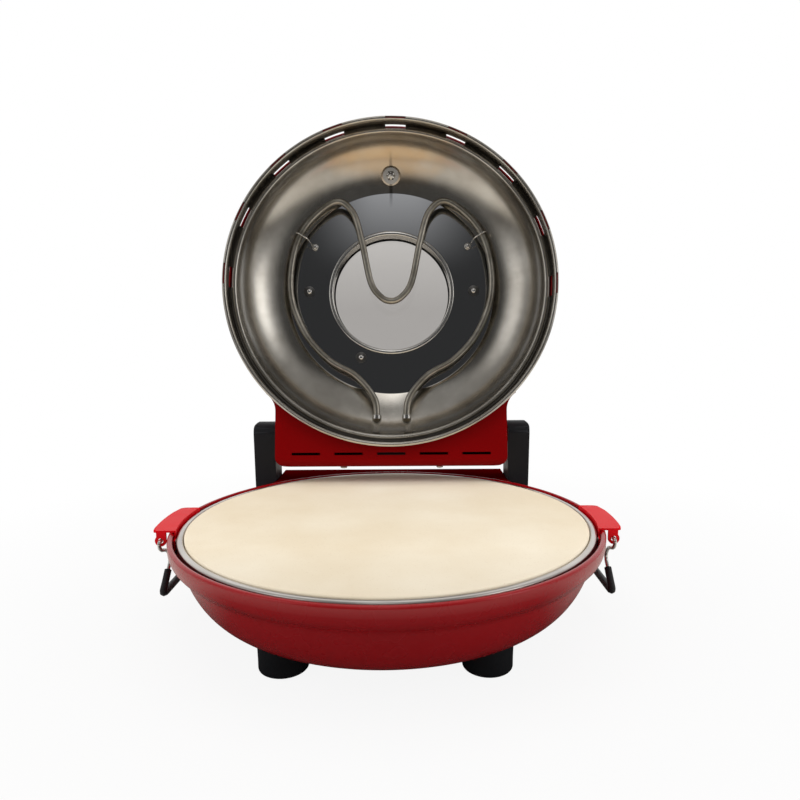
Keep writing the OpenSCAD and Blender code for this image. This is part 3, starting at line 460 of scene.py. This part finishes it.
bowl_red = enamel("bowl_enamel", srgb(144, 0, 8), 0.27, 0.15, 0.4)
# painted shade: darker reds for the lid's box and the rear housing; painted light: a lighter red
# for the handles
case_red_painted_shade = enamel("case_enamel_painted_shade", srgb(122, 0, 2), 0.4, 0.0, 0.05)
housing_red_painted_shade = enamel("housing_enamel_painted_shade", srgb(100, 0, 3), 0.5, 0.0, 0.0)
handle_red_painted_light = enamel("handle_enamel_painted_light", srgb(214, 10, 22), 0.36, 0.0, 0.08)
shell_red = enamel("shell_enamel", srgb(128, 6, 10), 0.3, 0.4)
print("red finishes:", [m.name for m in (bowl_red, case_red_painted_shade, housing_red_painted_shade, handle_red_painted_light, shell_red)])

# %% [markdown]
# ## Steel
#
# The pan is spun on a lathe, so fine grooves run around its ring. The grooves are a noise
# that is read by radius alone, stretched until it is only rings. They go to the roughness
# and to a very low bump. Wire and screws are drawn or rolled, and only a little uneven.

# %% Spun and drawn steel
def rings(paint, radius, scale):
    """Noise that changes with radius and not with angle: lathe grooves."""
    at = paint.add("ShaderNodeCombineXYZ", {}, {0: radius * scale, 1: 0.0, 2: 0.0})
    return paint.noise(1.0, 3.0, 0.6, at)


def ring_steel():
    """Spun steel with rings around the z axis and a slow change of tone."""
    paint = Paint("ring_steel", srgb(206, 200, 194), 0.3, 1.0)
    x, y, z = paint.parts(paint.where)
    groove = rings(paint, length_of(x, y), 2500.0)
    paint.feed("Base Color", paint.ramp(paint.noise(25.0, 3.0), (0.3, srgb(190, 184, 178)),
                                        (0.7, srgb(222, 217, 211))))
    paint.feed("Roughness", 0.24 + 0.14 * groove)
    paint.bump(groove, 0.05, 0.0002)
    return paint.material


def bright_steel(name, colour, low):
    """Polished steel whose roughness wanders a little above its lowest value."""
    paint = Paint(name, colour, low, 1.0)
    paint.feed("Roughness", low + 0.12 * paint.noise(180.0, 3.0))
    paint.bump(paint.noise(900.0), 0.04, 0.0002)
    return paint.material


pan_steel = ring_steel()
screw_steel = bright_steel("bright_steel", srgb(214, 211, 206), 0.12)
wire_steel = bright_steel("wire_steel", srgb(222, 220, 216), 0.1)
print("steels:", [m.name for m in (pan_steel, screw_steel, wire_steel)])

# %% [markdown]
# The dish inside the lid is one sheet but not one finish. Its wall is brushed by the spinning
# tool. The flat crown is polished, and so it shows the dark front of the studio; its steel is
# also painted a darker grey than the wall's, a painted dark reflection. A straw tint around the
# handle's screw is a painted reflection of the cream stone, and the groove behind the rim gets
# painted shade. One material reads the radius from the lid's own axis, and changes its colour
# and its roughness at the crease.

# %% The dish's steel
lid_z = 78.2
crown_edge, crown_z = 105.0, lid_z + 51.0
screw_y = -crown_edge - 16.0


def on_closed_lid(paint):
    """Position on the closed lid in metres, and the distance from its axis."""
    closed = paint.place((0.0, hinge_y / 1000, hinge_z / 1000), (-open_angle, 0.0, 0.0))
    x, back, height = paint.parts(closed)
    y = back + hinge_y / 1000
    return closed, x, y, height + hinge_z / 1000, length_of(x, y)


def dish_steel():
    """Spun steel: brushed wall, crown painted dark, a painted reflection of the stone, a run of oil
    and painted shade in the groove.
    """
    paint = Paint("dish_steel", srgb(184, 178, 168), 0.26, 1.0)
    closed, x, y, height, radius = on_closed_lid(paint)
    groove = rings(paint, radius, 1500.0)
    blotch = paint.noise(22.0, 4.0, 0.6, closed)
    steel = paint.ramp(blotch, (0.32, srgb(174, 168, 158)), (0.68, srgb(204, 199, 190)))
    # painted reflection of the cream stone, as a straw tint around the handle's screw, low and wide
    wavy = paint.noise(60.0, 4.0, 0.65, closed)
    tint = (1.35 - length_of(x / 0.058, (y + 0.132) / 0.018) + 1.4 * (wavy - 0.5)).clamp()
    steel = paint.mix(tint * 0.6, steel, srgb(206, 172, 128))
    # a run of baked oil, straight down through the screw
    run = x.hill(0.0, 0.0005, 0.0018) * y.hill(-0.115, 0.012, 0.014)
    steel = paint.mix(run * 0.7, steel, srgb(60, 54, 48))
    # painted shade: the groove behind the rim is darkened
    groove_painted_shade = radius.rise(0.1525, 0.1535) * (height - lid_z / 1000).rise(0.003, 0.005)
    steel = paint.mix(groove_painted_shade * 0.5, steel, srgb(70, 64, 56))
    crown = 1.0 - radius.rise(crown_edge / 1000 - 0.0005, crown_edge / 1000 + 0.0002)
    # painted dark reflection: the crown's steel is a darker grey than the wall's
    plate = paint.mix(run * 0.5, srgb(150, 151, 153), srgb(60, 60, 62))
    paint.feed("Base Color", paint.mix(crown, steel, plate))
    brushed = radius.rise(0.106, 0.124)
    paint.feed("Roughness", 0.08 + brushed * (0.06 + 0.14 * groove + 0.06 * blotch))
    paint.bump(groove * brushed, 0.1, 0.0003)
    return paint.material


dish_metal = dish_steel()
print("dish:", dish_metal.name, "crown under", crown_z, "mm")

# %% [markdown]
# The screws in the crown sit on wide washers that have gone dark. Screw and washer are one
# node, so the material tells them apart by their height under the crown.

# %% Screws on dark washers
def washered_steel():
    """Bright steel that turns dark and rougher within a millimetre of the crown."""
    paint = Paint("washered_steel", srgb(214, 211, 206), 0.14, 1.0)
    closed, x, y, height, radius = on_closed_lid(paint)
    washer = ((height - (crown_z - 1.05) / 1000) * 9000.0).clamp()
    paint.feed("Base Color", paint.mix(washer, srgb(236, 233, 228), srgb(110, 108, 106)))
    paint.feed("Roughness", 0.12 + 0.2 * washer + 0.08 * paint.noise(200.0))
    return paint.material


screw_on_washer = washered_steel()
print("crown screws:", screw_on_washer.name)

# %% [markdown]
# The heating tube has been hot. Its sheath has gone dull and warm, with scale in patches. A
# ramp over a noise gives three tones of it, which is simpler than painting the patches.

# %% Tube steel
def tube_steel():
    """Dull, warm steel with patches of scale in three tones."""
    paint = Paint("tube_steel", srgb(150, 144, 132), 0.36, 1.0)
    paint.feed("Base Color", paint.ramp(
        paint.noise(45.0, 4.0, 0.6), (0.3, srgb(140, 134, 122)), (0.6, srgb(184, 178, 166)),
        (0.75, srgb(204, 197, 183))))
    paint.feed("Roughness", 0.24 + 0.16 * paint.noise(130.0, 3.0))
    paint.bump(paint.noise(700.0, 3.0), 0.05, 0.0002)
    return paint.material


scaled_steel = tube_steel()
print("heating tubes:", scaled_steel.name)

# %% [markdown]
# ## Stone, plastic and rubber
#
# Baking stone is pressed and fired cordierite: cream, matt and faintly speckled. Its front is
# painted a little darker, a painted shade. Moulded plastic has a fine spark-eroded grain.

# %% Stone and plastics
def fired_stone():
    """Cream stone: clouds of two tones, brown specks, painted shade at the front and a grainy bump.
    """
    paint = Paint("fired_stone", srgb(234, 220, 196), 0.85, Specular_IOR_Level=0.25)
    x, y, z = paint.parts(paint.where)
    cloud = paint.noise(9.0, 4.0, 0.55)
    cream = paint.ramp(cloud, (0.3, srgb(228, 212, 184)), (0.7, srgb(240, 229, 208)))
    # painted shade: the stone's front is darkened a little
    cream = paint.mix(y.rise(-0.07, -0.15) * 0.14, cream, (0.0, 0.0, 0.0))
    speck = paint.noise(900.0)
    dots = ((0.36 - speck) * 12.0).clamp()
    paint.feed("Base Color", paint.mix(dots * 0.35, cream, srgb(196, 176, 146)))
    paint.feed("Roughness", 0.78 + 0.14 * speck)
    paint.bump(paint.noise(1400.0, 3.0) + 0.4 * cloud, 0.18, 0.0003)
    return paint.material


def moulded(name, colour, roughness, grain=0.12):
    """Plastic or rubber: a dark and a lighter tone in clouds, and a fine grain."""
    paint = Paint(name, colour, roughness, Specular_IOR_Level=0.25)
    lighter = tuple(min(1.0, c * 1.7 + 0.004) for c in colour)
    paint.feed("Base Color", paint.mix(paint.noise(20.0, 3.0), colour, lighter))
    paint.feed("Roughness", roughness - 0.08 + 0.16 * paint.noise(240.0))
    paint.bump(paint.noise(1800.0), grain, 0.0003)
    return paint.material


stone = fired_stone()
bracket_black = moulded("bracket_black", srgb(17, 18, 21), 0.42)
foot_black = moulded("foot_black", srgb(10, 11, 14), 0.6, 0.2)
grip_black = moulded("grip_black", srgb(25, 24, 25), 0.45)
cover_black = moulded("cover_black", srgb(34, 34, 36), 0.5)
gasket_grey = moulded("gasket_grey", srgb(52, 50, 50), 0.65)
terminal_white = moulded("terminal_white", srgb(214, 208, 196), 0.4, 0.05)
lamp_amber = Paint("lamp_amber", srgb(246, 140, 60), 0.18, Coat_Weight=0.5).material
print("stone and plastics:", [m.name for m in (stone, bracket_black, foot_black, grip_black,
                                               cover_black, gasket_grey, terminal_white)])

# %% [markdown]
# Window glass is clear, but its thickness tints what is seen through it. The colour goes on
# the surface and the light passes through it, so a pale background shows as a warm grey.

# %% Window glass
def window_pane():
    """Clear glass with a grey tint, painted lighter towards its top: painted light and shade on the
    glass.
    """
    paint = Paint("window_pane", srgb(196, 193, 188), 0.03, Transmission_Weight=1.0, IOR=1.45)
    x, y, z = paint.parts(paint.where)
    # painted light and shade: the glass is darker at the bottom and lighter at the top
    paint.feed("Base Color", paint.mix(z.rise(0.24, 0.35), srgb(168, 165, 162),
                                       srgb(200, 197, 193)))
    paint.feed("Roughness", 0.02 + 0.04 * paint.noise(12.0))
    return paint.material


pane = window_pane()
print("window:", pane.name)

# %% [markdown]
# ## Dressing a piece
#
# A piece that was worked out here stands for one node of the part, rides on the same body
# and takes a finish. A node whose shape is already right is copied, its triangles are joined,
# and it is shaded smoothly up to its edges.


def dress(made, node, material):
    """Gives an object its finish and lets it stand for a node of the part."""
    made.data.materials.clear()
    made.data.materials.append(material)
    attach(made, nodes[node]["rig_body"])
    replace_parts(made, node)
    return made


def copy_node(node, crease):
    """A copy of a node with joined triangles, smooth between edges sharper than crease."""
    mesh = nodes[node].data.copy()
    mesh.name = node + "_surface"
    tidy_mesh(mesh, crease, recalc=False)
    made = bpy.data.objects.new(node + "_surface", mesh)
    bpy.context.scene.collection.objects.link(made)
    weights = made.modifiers.new("even_shading", "WEIGHTED_NORMAL")
    weights.keep_sharp = True
    return made


def dress_nodes(material, *names, crease=30):
    """Copies several nodes and gives them one finish."""
    for name in names:
        dress(copy_node(name, crease), name, material)


# %% [markdown]
# ## The bowl
#
# The bowl is pressed from one sheet: a flat floor, a wall that is a quarter of an ellipse, a
# soft shoulder, a straight band and a lip rolled inwards. The profile follows it in that
# order. The shoulder is a curve through four points, because two arcs would leave a sharp
# line where the metal has none.

# %% Base bowl
bowl_sheet, foot_height, floor_radius = 1.6, 15.0, 116.0
rim_radius, rim_top, step_in, ledge_height = 164.2, 74.5, 7.2, 54.0
wall_top = rim_top + 0.5
wall_reach = rim_radius - step_in - floor_radius
wall_rise = wall_top - foot_height
ledge_angle = np.degrees(np.arccos((wall_top - ledge_height) / wall_rise))
shoulder = [[156.6, 57.2], [159.7, 60.0], [162.2, 63.4], [163.3, 67.5]]
floor_mid, lip_round = foot_height + bowl_sheet / 2, 1.2
bowl_line = np.vstack([
    [[0.0, floor_mid], [40.0, floor_mid], [90.0, floor_mid]],
    arc((floor_radius, wall_top), (wall_reach - bowl_sheet / 2, wall_rise - bowl_sheet / 2),
        -90, ledge_angle - 90, 48),
    curve_through(shoulder, 6),
    bend((rim_radius - 2.0, rim_top - 2.0), lip_round, 0, 200, 14)])
bowl = dress(spin("bowl", sheet(bowl_line, bowl_sheet), 320, 40), "base_bowl", bowl_red)
print("bowl:", len(bowl.data.polygons), "faces")

# %% [markdown]
# ## The pan and the stone
#
# The steel pan hangs in the bowl by the ring that shows around the stone. The stone is a
# plain disc with small rounded edges, loose in the pan's recess. The pan is a sheet like the
# bowl, and the stone is solid, so its profile is drawn all the way round instead.

# %% Pan ring and stone
pan_floor, pan_wall, pan_round, skirt_end = 36.5, 146.3, 10.0, 60.1
recess, ring_edge, ring_top, ledge = 152.8, 157.7, 74.2, 64.6
ledge_mid, ledge_round = ledge - 0.5, 1.5
pan_line = np.vstack([
    [[0.0, pan_floor], [60.0, pan_floor]],
    bend((pan_wall - pan_round, pan_floor + pan_round), pan_round, -90, 0, 10),
    bend((pan_wall + ledge_round, ledge_mid - ledge_round), ledge_round, 180, 90, 6),
    [[recess + 0.5, ledge_mid]],
    arc(((recess + ring_edge) / 2, ring_top - 1.9), (1.95, 1.4), 180, 0, 16),
    [[ring_edge - 0.5, skirt_end]]])
pan = dress(spin("pan", sheet(pan_line, 1.0), 288, 40), "base_liner", pan_steel)

stone_radius, stone_thick, stone_round = 152.5, 10.2, 1.4
stone_line = np.vstack([
    [[0.0, 0.0], [100.0, 0.0]],
    bend((stone_radius - stone_round, stone_round), stone_round, -90, 0, 8),
    bend((stone_radius - stone_round, stone_thick - stone_round), stone_round, 0, 90, 8),
    [[100.0, stone_thick], [0.0, stone_thick]]])
slab = dress(spin("stone", stone_line + [0, ledge], 288, 60), "baking_stone", stone)
print("pan and stone:", len(pan.data.polygons) + len(slab.data.polygons), "faces")

# %% [markdown]
# ## The lid's dish
#
# The dish has a rolled rim, a deep groove, a bright bead and a wall that is a part of an
# ellipse. The wall meets the flat crown in a crease. The ellipse's size follows from the two
# points that the wall has to join, and from the slope at each.

# %% The dish's profile
dish_sheet, lid_edge, rim_round = 0.8, 160.9, 1.8
wall_radius, bead_radius, bead_round, groove = 156.9, 151.3, 1.9, 14.0
rim_at = (lid_edge - 2.2, lid_z + 2.2)
groove_z, bead_z = lid_z + groove, lid_z + groove - 1.6
crown_mid = crown_z + dish_sheet / 2
wall_slopes = (4.0, 68.0)
wall_angles = np.radians(wall_slopes)
wall_wide = (bead_radius - bead_round - crown_edge) / -np.diff(np.cos(wall_angles))[0]
wall_high = (crown_mid - bead_z) / np.diff(np.sin(wall_angles))[0]
wall_centre = (crown_edge - wall_wide * np.cos(wall_angles[1]),
               bead_z - wall_high * np.sin(wall_angles[0]))
# the point just inside the crease keeps the crown's shading flat up to its edge
dish_line = np.vstack([
    [[lid_edge - 0.4, lid_z + 3.4]],
    bend(rim_at, rim_round, 0, -180, 14),
    [[wall_radius - 0.05, lid_z + 4.4], [wall_radius - 0.5, groove_z - 1],
     [wall_radius - 1.3, groove_z], [bead_radius + bead_round + 0.6, groove_z]],
    bend((bead_radius, bead_z), bead_round, 10, -180, 16),
    arc(wall_centre, (wall_wide, wall_high), *wall_slopes, 64),
    [[crown_edge - 0.7, crown_mid], [84.0, crown_mid], [60.9, crown_mid]]])
print("wall ellipse:", round(wall_wide, 1), "by", round(wall_high, 1), "mm")

# %% [markdown]
# Vents are cut through the rim and the groove around the front half. A cut is a Boolean with
# a ring of small boxes, because a punched slot has sharp edges and a flat end.

# %% Cut the vents
vent_count, vent_pitch, vent_middle, vent_length = 9, 22.5, -88.0, 20.0


def ring_of_boxes(name, radial, height, width):
    """Boxes at the vents' angles around the lid: radial and height are (from, to), in mm."""
    angle = np.radians(vent_middle + vent_pitch * (np.arange(vent_count) - (vent_count - 1) / 2))
    corner = np.array([[r, w, h] for h in height for w in (-width / 2, width / 2) for r in radial])
    out = np.stack([np.cos(angle), np.sin(angle)], -1)
    along = np.stack([-np.sin(angle), np.cos(angle)], -1)
    flat = out[:, None, :] * corner[None, :, :1] + along[:, None, :] * corner[None, :, 1:2]
    points = np.concatenate([flat, np.repeat(corner[None, :, 2:], vent_count, 0)], -1)
    one_box = np.array([[0, 2, 3, 1], [4, 5, 7, 6], [0, 1, 5, 4],
                        [2, 6, 7, 3], [0, 4, 6, 2], [1, 3, 7, 5]])
    faces = (one_box[None] + 8 * np.arange(vent_count)[:, None, None]).reshape(-1, 4)
    return make_object(name, points.reshape(-1, 3) / 1000, faces)


def cut(made, *cutters):
    """Cuts the given shapes out of an object and removes them."""
    for cutter in cutters:
        step = made.modifiers.new("cut", "BOOLEAN")
        step.object, step.operation, step.solver = cutter, "DIFFERENCE", "EXACT"
    view = bpy.context.evaluated_depsgraph_get()
    result = bpy.data.meshes.new_from_object(made.evaluated_get(view))
    made.modifiers.clear()
    made.data = result
    for cutter in cutters:
        bpy.data.objects.remove(cutter)
    tidy_mesh(made.data, 35, recalc=False)
    return made


dish = cut(spin("dish", sheet(dish_line, dish_sheet), 320),
           ring_of_boxes("rim_vents", (wall_radius + 0.8, lid_edge - 1.2),
                         (lid_z - 1, lid_z + 1.6), vent_length),
           ring_of_boxes("groove_vents", (wall_radius - 2.5, wall_radius + 0.5),
                         (groove_z - 4.5, groove_z + 1), vent_length))
print("dish:", len(dish.data.polygons), "faces")

# %% [markdown]
# The handle's screw goes through a small flat pad that is pressed into the sloping wall. The
# pad is a plain disc with a rounded edge, leant to the wall's slope and joined to the dish.

# %% Pad under the handle's screw
screw_angle = np.arccos((-screw_y - wall_centre[0]) / wall_wide)
pad_lean = np.arctan(wall_high * np.cos(screw_angle) / (wall_wide * np.sin(screw_angle)))
pad_middle = np.array([0.0, screw_y, wall_centre[1] + wall_high * np.sin(screw_angle)])
pad_radius, pad_round = 10.0, 0.6


def lean_to_wall(points):
    """Turns points about the x axis by the wall's slope and moves them to the screw."""
    x, y, z = points.T
    c, s = np.cos(pad_lean), np.sin(pad_lean)
    return np.stack([x, y * c - z * s, y * s + z * c], -1) + pad_middle


pad_line = np.vstack([[[0.0, dish_sheet / 2], [pad_radius, dish_sheet / 2]],
                      bend((pad_radius - pad_round, -pad_round), pad_round, 0, -90, 6),
                      [[0.0, -2 * pad_round]]])
pad = move_points(spin("pad", pad_line, 64, 50), lean_to_wall)
work = bmesh.new()
work.from_mesh(dish.data)
work.from_mesh(pad.data)
work.to_mesh(dish.data)
work.free()
bpy.data.objects.remove(pad)
dress(move_points(dish, opened), "lid_liner", dish_metal)
print("pad leans", round(float(np.degrees(pad_lean)), 1), "degrees")

# %% [markdown]
# The outer shell is a second dome around the dish. Its slots let steam out and let light in
# behind the vents, so they stand at the same angles and are a little longer.

# %% Outer shell
shell_sheet, shell_side, lid_top = 1.1, lid_edge - 1.45, lid_z + 65.5
top_mid = lid_top - shell_sheet / 2
shell_line = np.vstack([
    [[shell_side, lid_z + 2.2]],
    dome((shell_side, lid_z + 7), (99.0, top_mid), 1.6, 64),
    [[65.1, top_mid]]])
shell = cut(spin("shell", sheet(shell_line, shell_sheet), 320),
            ring_of_boxes("steam_slots", (154.0, 166.0), (lid_z + 12, lid_z + 16),
                          vent_length + 2))
dress(move_points(shell, opened), "lid_shell", shell_red)
print("shell:", len(shell.data.polygons), "faces")

# %% [markdown]
# ## The heating tube
#
# The tube enters through two collars at the back, runs around the dish in two lobes and dips
# to a loop in front of the window. Half of its path is given and the other half mirrored, as
# the tube is bent over one former for both sides.

# %% Upper heating tube
element_z, element_radius = lid_z + 38.0, 3.25
half = np.array([[14.8, 131.2], [17.4, 111], [35.5, 88.7], [63, 72], [87.2, 44], [101, 5.5],
                 [98.4, -37], [84.2, -68.5], [56.8, -90.3], [39, -79.6], [29.4, -48.2],
                 [20.8, -7.6], [10.6, 8.1], [0, 12.6]])
route = np.vstack([half, (half * [-1, 1])[-2::-1]])
path = curve_through(np.column_stack([route, np.full(len(route), element_z)]), 14)
heater = move_points(tube("heating_tube", path, element_radius, 24), opened)
dress(heater, "upper_element", scaled_steel)
print("heating tube:", len(heater.data.polygons), "faces")

# %% [markdown]
# ## The window's ring
#
# The ring that holds the glass has a lip that is rolled round, so a bright line runs along it.
# The lip is half an ellipse, and a short sleeve goes from it to the gasket.

# %% Window ring
window_radius, lip_width, lip_height, sleeve_sheet = 60.0, 4.4, 1.1, 0.8
sleeve_end = lid_top - 3.8
ring_line = np.vstack([
    arc((window_radius + lip_width / 2, crown_z - 0.2), (lip_width / 2, lip_height), 0, -180, 14),
    [[window_radius, sleeve_end], [window_radius + sleeve_sheet, sleeve_end],
     [window_radius + sleeve_sheet, crown_z - 0.1]]])
window_ring = move_points(spin("window_ring", ring_line, 192, 40), opened)
dress(window_ring, "window_sleeve", screw_steel)
print("window ring:", len(window_ring.data.polygons), "faces")

# %% [markdown]
# ## Everything that keeps its own shape
#
# The brackets, the box, the handles and the small hardware are already true, so they are
# dressed as they are. The round grips and wires get a wider crease angle, because their
# facets must not show as edges.

# %% Dress the other pieces
dress_nodes(case_red_painted_shade, "lid_box", crease=32)
dress_nodes(housing_red_painted_shade, "rear_housing", crease=32)
dress_nodes(handle_red_painted_light, "handle_plate_left", "handle_plate_right")
dress_nodes(bracket_black, "hinge_bracket_left", "hinge_bracket_right", "lid_handle",
            "window_bezel", "thermostat_knob")
dress_nodes(foot_black, "foot_front_left", "foot_front_right", "foot_rear_left", "foot_rear_right")
dress_nodes(grip_black, "bail_grip_left", "bail_grip_right", crease=60)
dress_nodes(wire_steel, "bail_wire_left", "bail_wire_right", "element_clips", crease=60)
dress_nodes(screw_steel, "hinge_pin_left", "hinge_pin_right", "hinge_washers", "handle_rivets",
            "clip_screws", "handle_screw", "handle_washer", "box_screws",
            "element_collars", "foot_screws", "bracket_screws", "pan_screws")
dress_nodes(screw_on_washer, "crown_screws")
dress_nodes(pan_steel, "pan_posts", "lower_element_clips", "crown_spacers")
dress_nodes(scaled_steel, "lower_element", crease=60)
dress_nodes(cover_black, "rear_cover", "cord_gland", "thermal_cutout", "thermostat", "lid_terminal")
dress_nodes(terminal_white, "mains_terminal")
dress_nodes(gasket_grey, "window_gasket")
dress_nodes(pane, "window_glass")
dress_nodes(lamp_amber, "pilot_lamp")
left = [n for n in nodes if not any(o.get("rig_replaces") and n in str(o["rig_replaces"])
                                    for o in bpy.data.objects)]
print("nodes still to dress:", left)

# %% [markdown]
# ## The floor
#
# The floor is the white of the background away from the object, and keeps a soft shadow close
# to it. Camera rays see mostly a plain white glow, mixed with the lit floor near the object.
# Glossy surfaces see another floor: dark under the bowl as a painted shadow, dark far away, and
# pale between.

# %% Floor
def pale_floor():
    """A square floor whose colour depends on the kind of ray and the distance from the bowl."""
    points = [(-4, -4, -0.0002), (4, -4, -0.0002), (4, 4, -0.0002), (-4, 4, -0.0002)]
    mesh = bpy.data.meshes.new("floor")
    mesh.from_pydata(points, [], [(0, 1, 2, 3)])
    floor = bpy.data.objects.new("floor", mesh)
    bpy.context.scene.collection.objects.link(floor)
    plain, pale, dark = (0.62, 0.61, 0.6), (0.72, 0.69, 0.64), (0.08, 0.08, 0.08)
    paint = Paint("floor_white", plain, 0.9, Specular_IOR_Level=0.1)
    x, y, z = paint.parts(paint.where)
    away = length_of(x, y)
    # painted shadow: for glossy rays the floor is dark close around and under the bowl
    near = (away + 0.11 * y.rise(-0.14, -0.04)).rise(0.22, 0.34)
    mirrored = paint.mix(near * (1.0 - away.rise(0.9, 1.6)), dark, pale)
    paint.feed("Base Color", paint.mix(paint.ray_is("Glossy"), plain, mirrored))
    fade = length_of(x, y - 0.02).rise(0.2, 0.55)
    white = paint.add("ShaderNodeEmission", {}, {"Color": (1.0, 1.0, 1.0), "Strength": 1.0})
    blend = paint.add("ShaderNodeMixShader", {}, {
        0: paint.ray_is("Camera") * (0.9 + 0.1 * fade),
        1: Value(paint, paint.surface.outputs[0]), 2: white})
    paint.tree.links.new(blend.socket, paint.first_of("OUTPUT_MATERIAL").inputs["Surface"])
    mesh.materials.append(paint.material)
    return floor


print("floor:", pale_floor().name)

# %% [markdown]
# ## Lamps
#
# Three soft boxes give the shadows and the light on the matt pieces: a wide one above and a
# tall one at each side. Glossy rays don't see them. What the steel reflects is drawn in the
# surroundings instead, where each bright zone can be placed by itself.

# %% Soft boxes
def soft_box(name, at, aim, size, power):
    """A rectangular lamp at a place, facing another."""
    data = bpy.data.lights.new(name, "AREA")
    data.shape, data.size, data.size_y = "RECTANGLE", size[0], size[1]
    data.energy = power
    lamp = bpy.data.objects.new(name, data)
    bpy.context.scene.collection.objects.link(lamp)
    back = np.array(at, float) - np.array(aim, float)
    back /= np.linalg.norm(back)
    across = np.cross((0.0, 0.0, 1.0), back)
    across /= np.linalg.norm(across)
    frame_of = np.column_stack([across, np.cross(back, across), back])
    lamp.matrix_world = Matrix([[*map(float, row), float(c)] for row, c in zip(frame_of, at)]
                               + [[0, 0, 0, 1]])
    lamp.visible_glossy = False
    return lamp


lamps = [soft_box("lamp_above", (0.0, -0.08, 1.45), (0.0, 0.02, 0.1), (1.5, 1.1), 9.5),
         soft_box("lamp_left", (-1.25, -0.4, 0.6), (0.0, 0.0, 0.15), (0.7, 1.1), 7.0),
         soft_box("lamp_right", (1.25, -0.4, 0.6), (0.0, 0.0, 0.15), (0.7, 1.1), 7.0)]
print("lamps:", [lamp.name for lamp in lamps])

# %% [markdown]
# ## What the steel sees
#
# Steel has no colour of its own to speak of. It shows the room. Here the room is a sum of soft
# zones over the directions of a ray: dark in front, where the camera stands, bright soft boxes
# at two o'clock and ten o'clock, a light card above the camera and mid grey elsewhere.

# %% Surroundings
def surroundings():
    """World whose strength, for glossy rays, is a sum of zones by azimuth and height in degrees."""
    world = bpy.data.worlds.new("studio")
    bpy.context.scene.world = world
    world.use_nodes = True
    kit = Nodes(world.node_tree)
    x, y, z = kit.parts(kit.add("ShaderNodeTexCoord", {}, {}, "Generated"))
    angle = x.maths("ARCTAN2", 0.0 - y) * (180 / np.pi)
    across = angle.maths("ABSOLUTE")
    up = z.maths("ARCSINE") * (180 / np.pi)
    front = (1.0 - across.rise(35, 43)) * (1.0 - up.rise(46, 54))
    rear = across.rise(100, 125)
    right_box = angle.hill(65, 7, 9) * up.hill(26, 7, 14)
    left_box = angle.hill(-58, 6, 11) * up.hill(27, 11, 16)
    card = angle.hill(-1, 2.5, 6) * up.rise(30, 42) * (1.0 - up.rise(48, 72))
    sides = across.hill(95, 15, 10) * up.hill(0, 10, 10)
    ceiling = up.rise(70, 85)
    glossy = (0.3 - 0.22 * front + 0.65 * rear + 1.7 * right_box + 0.85 * left_box
              + 1.6 * card + 0.3 * sides + 0.25 * ceiling)
    seen = (kit.ray_is("Camera") + kit.ray_is("Transmission")).clamp()
    shiny = kit.ray_is("Glossy")
    strength = seen + (1.0 - seen) * (shiny * glossy + (1.0 - shiny) * 0.55)
    background = kit.first_of("BACKGROUND").inputs
    kit.fill(background["Color"], (1.0, 1.0, 1.0))
    kit.fill(background["Strength"], strength)
    return world


print("surroundings:", surroundings().name)
bpy.context.scene.view_settings.view_transform = "Standard"

# %% [markdown]
# ## Finish
#
